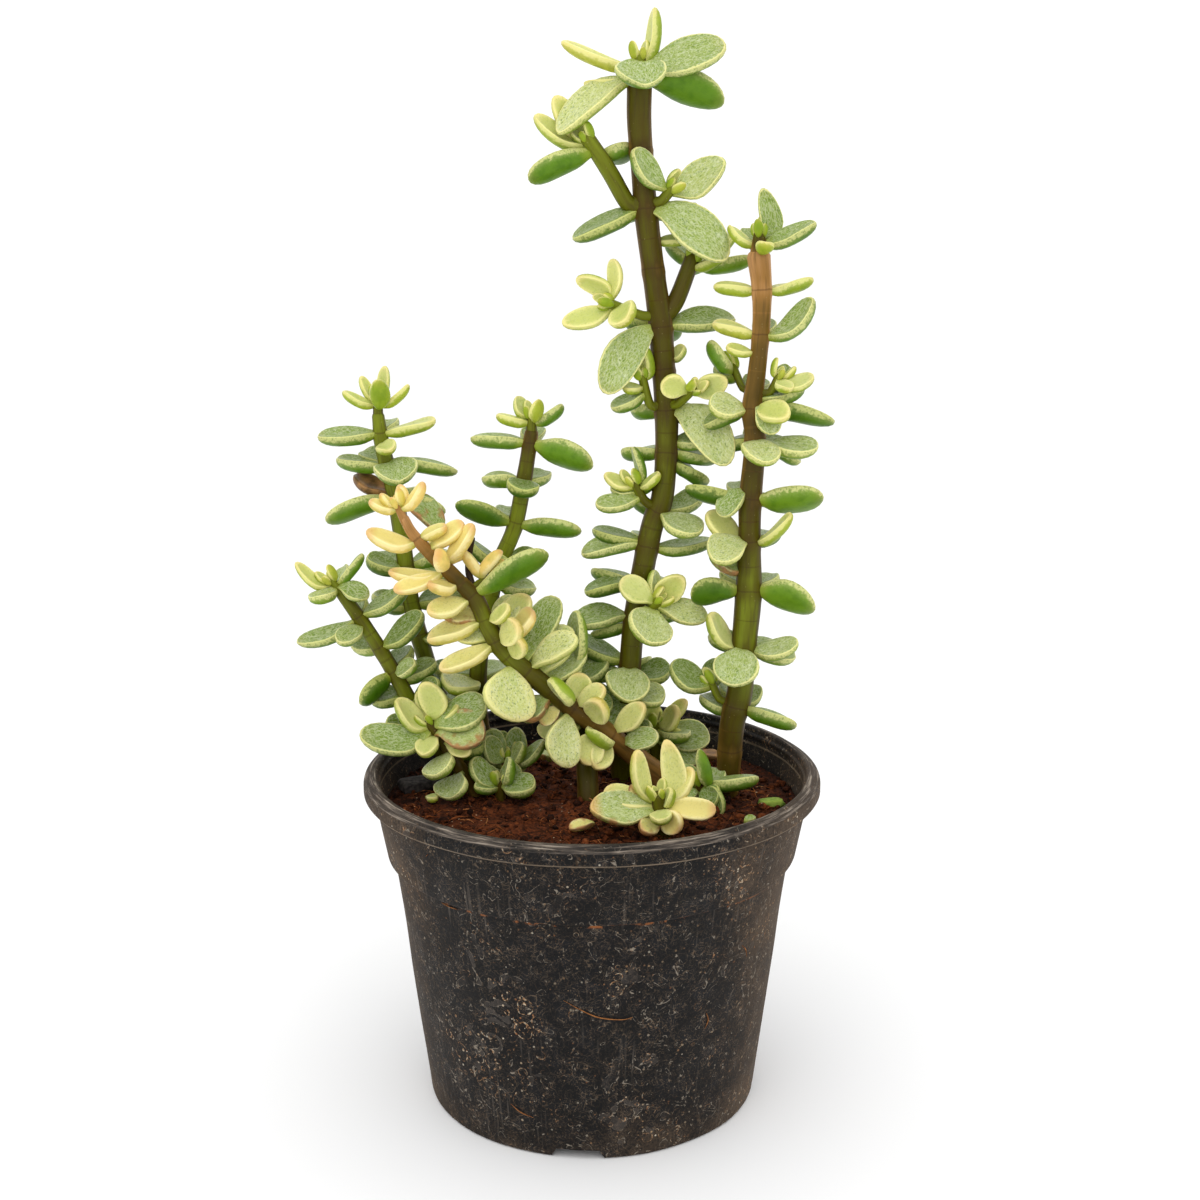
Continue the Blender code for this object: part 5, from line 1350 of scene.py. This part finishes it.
def make_pot_plastic(settings):
    """Black moulded polypropylene nursery pot, matt from handling and dirty from the bench.

    The plastic reads as soft charcoal.  Dried soil clings to it as brown haze, pale grit and curled
    husk crumbs, and the haze is partly painted sheen towards the front of the flanks.  Knocks have left
    grey scuffs with pale edges, and the lip's grey streaks are partly rubbed wear and partly painted
    highlights on its top and lower edge.
    """
    surface, add, shader = new_material(
        "moulded_black_polypropylene", 0.55, 0.12, Sheen_Weight=0.05, Sheen_Roughness=0.5,
        Sheen_Tint="#a08468")
    place = axis_millimetres(add)
    x, y, z = add("SeparateXYZ", None, place).outputs
    minus_y = add("Math", TIMES, y, -1.0)
    angle = add("Math", {"operation": "ARCTAN2"}, x, minus_y)
    around = add("Math", TIMES, angle, ROUND)
    wrapped = add("CombineXYZ", None, around, z)
    flat_place = add("CombineXYZ", None, x, y)
    radius = add("VectorMath", {"operation": "LENGTH"}, flat_place).outputs["Value"]
    dirty_spot = add("VectorMath", {"operation": "DISTANCE"}, wrapped, (-26.0, 38.0, 0.0))
    run_round = add("CombineXYZ", None, around, radius, z)
    run_round = add("Mapping", None, run_round, Scale=(0.10, 1.5, 1.5))
    upright = add("Mapping", None, wrapped, Scale=(1.1, 0.045, 1.0))

    cloud = add("TexNoise", None, place, Scale=0.055, Detail=5.0, Roughness=0.6)
    patch = add("TexNoise", None, place, Scale=0.16, Detail=5.0, Roughness=0.7)
    grain = add("TexNoise", None, place, Scale=1.3, Detail=4.0, Roughness=0.7)
    crumbled = add("TexNoise", None, place, Scale=0.9, Detail=2.0)
    wide_web = add("TexNoise", None, place, Scale=0.25, Detail=2.0, Distortion=0.8)
    close_web = add("TexNoise", None, place, Scale=0.75, Detail=2.0, Distortion=0.8)
    knocks = add("TexNoise", None, place, Scale=0.15, Detail=1.5, Distortion=1.6)
    drag = add("TexNoise", None, upright, Scale=1.0, Detail=3.0)
    grouped = add("TexNoise", None, wrapped, Scale=0.035, Detail=1.0)
    streak = add("TexNoise", None, run_round, Scale=1.0, Detail=4.0, Roughness=0.65)

    # Each mask fades in from one level of what it follows to another, from its least to its most.
    mask = {name: add("MapRange", SMOOTH, follows, start, full, least, most)
            for name, follows, start, full, least, most in (
        ("mottled", patch, 0.42, 0.68, 0.0, 0.8),
        # Painted sheen lies like dust towards the front of the flanks, most on the right, and real dust
        # gathers round the foot.
        ("left", x, -34.0, -57.0, 0.0, 0.48), ("right", x, 26.0, 56.0, 0.0, 0.58),
        ("facing", y, 26.0, -12.0, 0.25, 1.0), ("foot", z, 18.0, 0.0, 0.0, 0.30),
        # Dirt sticks most of all low on the left of the front.
        ("dirty", dirty_spot, 34.0, 6.0, 0.0, 0.16),
        ("web kept", patch, 0.40, 0.60, 0.25, 1.0), ("broken", crumbled, 0.46, 0.56, 0.0, 0.9),
        # Knocks leave grey scuffs 3 to 7 mm across.
        ("scuff", knocks, 0.60, 0.63, 0.0, 0.55),
        # Upright drag marks, 0.8 mm wide and 15 mm long, come in groups.
        ("drag", drag, 0.56, 0.74, 0.0, 0.55), ("grouped", grouped, 0.46, 0.62, 0.0, 1.0),
        ("step kept", patch, 0.50, 0.58, 0.0, 1.0),
        # The lip's top is painted grey: partly rubbed wear, partly a painted highlight where light
        # grazes it.
        ("lip", z, 95.2, 95.6, 0.0, 1.0), ("lip inside", radius, 61.2, 61.6, 0.0, 1.0))}
    # Lines lie where what they follow passes a level: webs of hair lines 0.1 mm wide, the pale edge
    # of each scuff, dirt on the wall's step, and the lower edge of the lip, rubbed and lit by a painted
    # highlight.
    for name, *line in (
            ("wide web", wide_web, 0.5, 0.010, 0.002, 0.40),
            ("close web", close_web, 0.5, 0.018, 0.0036, 0.42),
            ("scuff edge", knocks, 0.60, 0.012, 0.003, 0.8),
            ("step", z, 72.6, 1.0, 0.4, 0.9), ("lip edge", z, 91.9, 0.40, 0.12, 0.6)):
        mask[name] = line_where(add, *line)

    # The dust mask is partly painted sheen towards the front of the flanks, and partly real dust round
    # the foot and in clouds.
    dust_and_flank_sheen = add("Math", PLUS, mask["left"], mask["right"])
    dust_and_flank_sheen = add("Math", TIMES, dust_and_flank_sheen, mask["facing"])
    for more in (mask["foot"], cloud):
        dust_and_flank_sheen = add("Math", PLUS, dust_and_flank_sheen, more)
    dust_and_sheen_edge = add("Math", TIMES_PLUS, grain, 0.9, dust_and_flank_sheen)
    dust = add("MapRange", SMOOTH, dust_and_sheen_edge, 1.02, 1.65, 0.0, 0.72)
    clump = add("Math", TIMES_PLUS, patch, 0.7, cloud)
    clump = add("Math", PLUS, clump, mask["dirty"])
    clump = add("Math", TIMES_PLUS, dust, 0.12, clump)
    clump = add("MapRange", SMOOTH, clump, 0.82, 1.10, 0.05)

    thick_grit = add("Math", TIMES_PLUS, clump, 0.62, 0.26)
    mask["curls"] = curl_mask(add, place, patch)
    mask["grit"], grit_colour = grit_coat(add, place)

    # The lip's rubbed wear and painted highlights are broken into streaks that run round the lip.
    wear_and_highlight_broken = add("MapRange", None, streak, 0.36, 0.54, 0.25, 1.0)
    mask["webs"] = add("Math", LARGER, mask["wide web"], mask["close web"])
    mask["dust"] = dust
    for name, only_where in (
            ("dust", settings.dust), ("webs", mask["web kept"]), ("curls", mask["broken"]),
            ("curls", clump), ("grit", thick_grit), ("scuff", clump), ("scuff edge", mask["broken"]),
            ("drag", mask["grouped"]), ("step", mask["step kept"]), ("lip", mask["lip inside"]),
            ("lip", wear_and_highlight_broken), ("lip", settings.lip_wear_and_highlight), ("lip edge", wear_and_highlight_broken)):
        mask[name] = add("Math", TIMES, mask[name], only_where)

    # The lip coats are partly rubbed wear and partly painted highlights on its top and lower edge.
    lip_wear_and_highlight_colour = add("ValToRGB", {"stops": (
        (0.40, "#2f2b27"), (0.52, "#4a433d"), (0.60, "#756a5f"), (0.68, "#a09587"))}, streak)
    curl_colour = add("ValToRGB", {"stops": (
        (0.48, "#75502f"), (0.56, "#a0744c"), (0.64, "#bdae96"))}, crumbled)
    # The dust coat is partly painted sheen on the flanks.
    colour = lay_coats(add, tuple(settings.plastic) + (1.0,), [(mask[name], coat) for name, coat in (
        ("mottled", "#1c1c1e"), ("dust", "#584a3d"), ("drag", "#5a534c"), ("webs", "#84705a"),
        ("scuff", "#4b4540"), ("scuff edge", "#8f8577"), ("curls", curl_colour),
        ("grit", grit_colour), ("step", "#93582e"), ("lip", lip_wear_and_highlight_colour), ("lip edge", "#8f7d68"))])
    rough = add("MapRange", None, dust_and_sheen_edge, 0.7, 1.4, 0.42, 0.8)
    height = add("Math", TIMES_PLUS, mask["curls"], 0.8, grain)
    height = add("Math", PLUS, height, mask["grit"])
    bump = add("Bump", None, Strength=0.35, Distance=0.0002, Height=height)
    fill(shader, {"Base Color": colour, "Roughness": rough, "Normal": bump})
    return surface


def make_husk_fibre():
    """Dry coir fibre: orange-brown, matt, darker in places where it is still dirty."""
    surface, add, shader = new_material("dry_coir_fibre", 0.9, 0.1)
    place = axis_millimetres(add)
    dirt = add("TexNoise", None, place, Scale=0.6, Detail=3.0)
    tint = add("ValToRGB", {"stops": ((0.35, "#5a3620"), (0.65, "#a87142"))}, dirt)
    fill(shader, {"Base Color": tint})
    return surface


# ---- settings ----------------------------------------------------------------------------------
class PotSettings(bpy.types.PropertyGroup):
    plastic: FloatVectorProperty(
        name="Plastic", description="Colour of the clean plastic", subtype="COLOR", size=3,
        min=0.0, max=1.0, default=linear("#0f0f10")[:3])
    waviness: FloatProperty(
        name="Waviness", description="How far the thin wall is pushed in", unit="LENGTH",
        default=0.0005, min=0.0, max=0.002)
    # Dust also scales the painted sheen on the flanks.
    dust: FloatProperty(
        name="Dust", description="Strength of the dried soil on the wall", subtype="FACTOR",
        default=1.0, min=0.0, max=1.0)
    # Lip wear also scales the painted highlight on the lip's top and lower edge.
    lip_wear_and_highlight: FloatProperty(
        name="Lip wear", description="How grey the rubbed lip is", subtype="FACTOR",
        default=0.95, min=0.0, max=1.0)


class MixSettings(bpy.types.PropertyGroup):
    crumbs: IntProperty(
        name="Crumbs", description="Number of loose crumbs on the mix", default=1700, min=0, max=4000)
    crumb_size: FloatProperty(
        name="Crumb size", description="Largest crumb across", unit="LENGTH", default=0.0030,
        min=0.0005, max=0.006)
    fibres: IntProperty(
        name="Fibres", description="Number of loose husk fibres", default=330, min=0, max=1200)


class StemSettings(bpy.types.PropertyGroup):
    ring_height: FloatProperty(
        name="Ring height", description="How far a node swells, as a share of the stem's radius",
        subtype="FACTOR", default=0.07, min=0.0, max=0.3)


class LeafSettings(bpy.types.PropertyGroup):
    thickness: FloatProperty(
        name="Thickness", description="Thickness of an ordinary leaf", unit="LENGTH",
        default=0.0049, min=0.001, max=0.006)
    cupping: FloatProperty(
        name="Cupping", description="How far a leaf's edges rise, against the usual", default=1.0,
        min=0.0, max=3.0)


class StageSettings(bpy.types.PropertyGroup):
    floor: FloatVectorProperty(
        name="Floor", description="Colour of the floor", subtype="COLOR", size=3, min=0.0, max=1.0,
        default=linear("#f8f8f8")[:3])
    sky: FloatProperty(
        name="Surrounding light", description="Strength of the even light all round", default=1.12,
        min=0.0, max=5.0)
    softbox: FloatProperty(
        name="Softbox", description="Power of the overhead softbox", unit="POWER", default=2.6,
        min=0.0, max=100.0)


# ---- operators ---------------------------------------------------------------------------------
class PLANT_OT_pot(bpy.types.Operator):
    """Turn the pot, cut its notches and drain holes, and finish it as dusty black plastic with painted
    sheen and highlights
    """

    bl_idname = "plant.make_pot"
    bl_label = "Make pot"

    def execute(self, context):
        settings = context.scene.plant_pot
        bm = make_pot_mesh(settings.waviness)
        piece = finish_piece("moulded_pot", bm, make_pot_plastic(settings), "pot_plastic", ["pot"])
        piece.data.set_sharp_from_angle(angle=math.radians(SHARP_DEGREES))
        bm = bmesh.new()
        for bends in WALL_FIBRES:
            add_wall_fibre(bm, bends)
        finish_piece("wall_fibres", bm, make_husk_fibre(), "coir_mix", [])
        return {"FINISHED"}


class PLANT_OT_mix(bpy.types.Operator):
    """Fill the pot with coir mix, loose crumbs and fibres"""

    bl_idname = "plant.make_mix"
    bl_label = "Make potting mix"

    def execute(self, context):
        settings = context.scene.plant_mix
        bm = bmesh.new()
        shade = bm.verts.layers.float.new("shade")
        top = [(SOIL_RADIUS * i / MIX_RINGS, SOIL_EDGE_Z) for i in range(MIX_RINGS + 1)]
        turn_profile(bm, top + list(SOIL_UNDERSIDE), MIX_SIDES)
        for vert in bm.verts:
            if vert.co.z > SOIL_EDGE_Z - 1:
                vert.co.z = mix_height(vert.co.x, vert.co.y)
                # Painted shade: the lower the surface lies, the darker it is painted.
                vert[shade] = SOIL_HOLLOW_SHADE[0] + SOIL_HOLLOW_SHADE[1] * (vert.co.z - SOIL_EDGE_Z)
        draw = random.Random(MIX_SEED)
        scatter(bm, settings.crumbs, partial(add_crumb, draw, settings.crumb_size / MM))
        scatter(bm, settings.fibres, partial(add_fibre, draw))
        finish_piece("coir_mix_surface", bm, make_mix_surface(), "coir_mix", ["potting_mix"])
        return {"FINISHED"}


class PLANT_OT_stems(bpy.types.Operator):
    """Grow the seven woody stems, with a ring scar at every node"""

    bl_idname = "plant.make_stems"
    bl_label = "Make stems"

    def execute(self, context):
        surface = make_stem_skin()
        for serial, (name, (route, brown)) in enumerate(STEMS.items()):
            bm, marks = new_stem_mesh()
            add_stem(bm, marks, route, node_heights(name, route), brown, STEM_SIDES, serial)
            finish_piece(name + "_bark", bm, surface, "stem_skin", [name])
        return {"FINISHED"}


class PLANT_OT_tiers(bpy.types.Operator):
    """Set the tiers of leaves on the stems, with the twigs that grow among them"""

    bl_idname = "plant.make_tiers"
    bl_label = "Make leaf tiers"

    def execute(self, context):
        settings = context.scene.plant_leaves
        make_leaf_skin()
        twigs, marks = new_stem_mesh()
        for serial, (name, (at_nodes, between)) in enumerate(TIERS.items()):
            route = STEMS[stem_of(name)][0]
            blades = LeafBuilder(settings)
            for leaf in at_nodes + between:
                blades.add(route, leaf)
            for height, beyond, sprig_leaves in SPRIGS.get(name, ()):
                sprig = sprig_route(route, height, beyond)
                add_stem(twigs, marks, sprig, [], TWIG_BROWN, TWIG_SIDES, FIRST_TWIG + serial)
                for leaf in sprig_leaves:
                    blades.add(sprig, leaf)
                blades.add_bud(sprig, sprig_leaves[0][4])
            blades.finish(name + "_blades", [name])
        for serial, route in enumerate(DEAD_TWIGS):
            add_stem(twigs, marks, route, [], DEAD_BROWN, TWIG_SIDES, FIRST_DEAD + serial)
        finish_piece("twigs", twigs, bpy.data.materials["succulent_stem_skin"], "stem_skin", [])
        return {"FINISHED"}


class PLANT_OT_shoots(bpy.types.Operator):
    """Add the stem tips, side shoots and young shoots that rise from the mix"""

    bl_idname = "plant.make_shoots"
    bl_label = "Make shoots"

    def execute(self, context):
        settings = context.scene.plant_leaves
        stalks, marks = new_stem_mesh()
        for serial, (name, (route, brown, leaves)) in enumerate(SHOOTS.items()):
            stalk = [shoot_foot(name, route)] + list(route)
            add_stem(stalks, marks, stalk, [], brown, TWIG_SIDES, FIRST_STALK + serial)
            blades = LeafBuilder(settings)
            for leaf in leaves:
                blades.add(route, leaf)
            blades.add_bud(route, leaves[0][4])
            blades.finish(name + "_blades", [name])
        finish_piece("shoot_stalks", stalks, bpy.data.materials["succulent_stem_skin"], "stem_skin", [])
        return {"FINISHED"}


class PLANT_OT_litter(bpy.types.Operator):
    """Drop a chip of bark and bits of leaf on the potting mix"""

    bl_idname = "plant.make_litter"
    bl_label = "Make litter"

    def execute(self, context):
        blades = LeafBuilder(context.scene.plant_leaves)
        for foot, tip, width, turn, kind in LOOSE_LEAVES:
            foot = Vector(foot)
            blades.add_blade(foot, UP, 0.0, Vector(tip) - foot, width, turn, kind)
        blades.finish("loose_blades", [])
        draw = random.Random(LITTER_SEED)
        noise.seed_set(LITTER_SEED)
        for name, ((x, y), size, turn, colour, slot) in LITTER.items():
            surface, add, shader = new_material(name + "_surface", 0.8, 0.2)
            flecks = add("TexNoise", None, axis_millimetres(add), Scale=0.8, Detail=4.0)
            light, dark = colour
            tint = add("ValToRGB", {"stops": ((0.35, dark), (0.65, light))}, flecks)
            bump = add("Bump", None, Strength=0.6, Distance=0.0004, Height=flecks)
            fill(shader, {"Base Color": tint, "Normal": bump})
            bm = bmesh.new()
            bmesh.ops.create_cube(bm, size=1.0)
            bmesh.ops.subdivide_edges(bm, edges=bm.edges[:], cuts=3, use_grid_fill=True)
            for vert in bm.verts:
                vert.co = vert.co.lerp(vert.co.normalized() * BIT_BALL[0], BIT_BALL[1])
                place = vert.co * BIT_DENTS[1] + Vector((x, y, 0))
                vert.co += noise.noise_vector(place) * BIT_DENTS[0]
            bmesh.ops.scale(bm, vec=size, verts=bm.verts[:])
            middle = Matrix.Translation((x, y, mix_height(x, y) + size[2] / 2 - BIT_SUNK))
            bm.transform(middle @ Matrix.Rotation(math.radians(turn), 4, "Z")
                         @ Matrix.Rotation(draw.uniform(-BIT_TILT, BIT_TILT), 4, "X"))
            finish_piece(name + "_bit", bm, surface, slot, [name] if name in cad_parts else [])
        return {"FINISHED"}


class PLANT_OT_stage(bpy.types.Operator):
    """Lay a pale floor, light it softly from all round and above, and set the camera"""

    bl_idname = "plant.make_stage"
    bl_label = "Make stage"

    def execute(self, context):
        scene = context.scene
        settings = scene.plant_stage
        surface, add, shader = new_material("studio_floor", 0.9, 0.0)
        fill(shader, {"Base Color": tuple(settings.floor) + (1.0,)})
        bm = bmesh.new()
        bmesh.ops.create_circle(bm, cap_ends=True, segments=FLOOR_SIDES, radius=FLOOR_RADIUS)
        mesh = bpy.data.meshes.new("studio_floor")
        bm.to_mesh(mesh)
        bm.free()
        mesh.materials.append(surface)
        floor = bpy.data.objects.new("studio_floor", mesh)
        scene.collection.objects.link(floor)

        world = bpy.data.worlds.new("studio_sky")
        world.use_nodes = True
        fill(world.node_tree.nodes["Background"], {"Color": (1, 1, 1, 1), "Strength": settings.sky})
        scene.world = world

        lamp = bpy.data.lights.new("softbox", "AREA")
        lamp.shape = "RECTANGLE"
        lamp.size = lamp.size_y = SOFTBOX_SIDE
        lamp.energy = settings.softbox
        softbox = bpy.data.objects.new("softbox", lamp)
        softbox.location = AXIS + Vector(SOFTBOX_PLACE)
        toward = AXIS + Vector(SOFTBOX_AIM) - softbox.location
        softbox.rotation_euler = toward.to_track_quat("-Z", "Y").to_euler()
        scene.collection.objects.link(softbox)

        lens = bpy.data.cameras.new("camera")
        lens.lens = LENS_MM
        lens.sensor_width = SENSOR_MM
        lens.clip_start = CLIP_START
        camera = bpy.data.objects.new("camera", lens)
        camera.location = AXIS + Vector(CAMERA_PLACE_MM) * MM
        camera.rotation_euler = (math.radians(90 - CAMERA_DIP_DEGREES), 0, 0)
        scene.collection.objects.link(camera)
        scene.camera = camera
        scene.view_settings.view_transform = "Standard"
        return {"FINISHED"}


class PLANT_PT_panel(bpy.types.Panel):
    """Shows the plant's settings and the buttons that make its pieces"""

    bl_idname = "PLANT_PT_panel"
    bl_label = "Elephant Bush"
    bl_space_type = "VIEW_3D"
    bl_region_type = "UI"
    bl_category = "Elephant Bush"

    def draw(self, context):
        for group in SETTINGS:
            held = getattr(context.scene, group)
            for name in held.bl_rna.properties.keys():
                if name not in ("rna_type", "name"):
                    self.layout.prop(held, name)
        for operator in OPERATORS:
            self.layout.operator(operator.bl_idname)


OPERATORS = (PLANT_OT_stage, PLANT_OT_pot, PLANT_OT_mix, PLANT_OT_stems, PLANT_OT_tiers,
             PLANT_OT_shoots, PLANT_OT_litter)
SETTINGS = {"plant_pot": PotSettings, "plant_mix": MixSettings, "plant_stems": StemSettings,
            "plant_leaves": LeafSettings, "plant_stage": StageSettings}


def register():
    for item in tuple(SETTINGS.values()) + OPERATORS + (PLANT_PT_panel,):
        bpy.utils.register_class(item)
    for name, group in SETTINGS.items():
        setattr(bpy.types.Scene, name, PointerProperty(type=group))


def unregister():
    for name in SETTINGS:
        delattr(bpy.types.Scene, name)
    for item in (PLANT_PT_panel,) + OPERATORS[::-1] + tuple(SETTINGS.values())[::-1]:
        bpy.utils.unregister_class(item)


def main():
    register()
    bpy.ops.plant.make_stage()
    bpy.ops.plant.make_pot()
    bpy.ops.plant.make_mix()
    bpy.ops.plant.make_stems()
    bpy.ops.plant.make_tiers()
    bpy.ops.plant.make_shoots()
    bpy.ops.plant.make_litter()


if __name__ == "__main__":
    main()
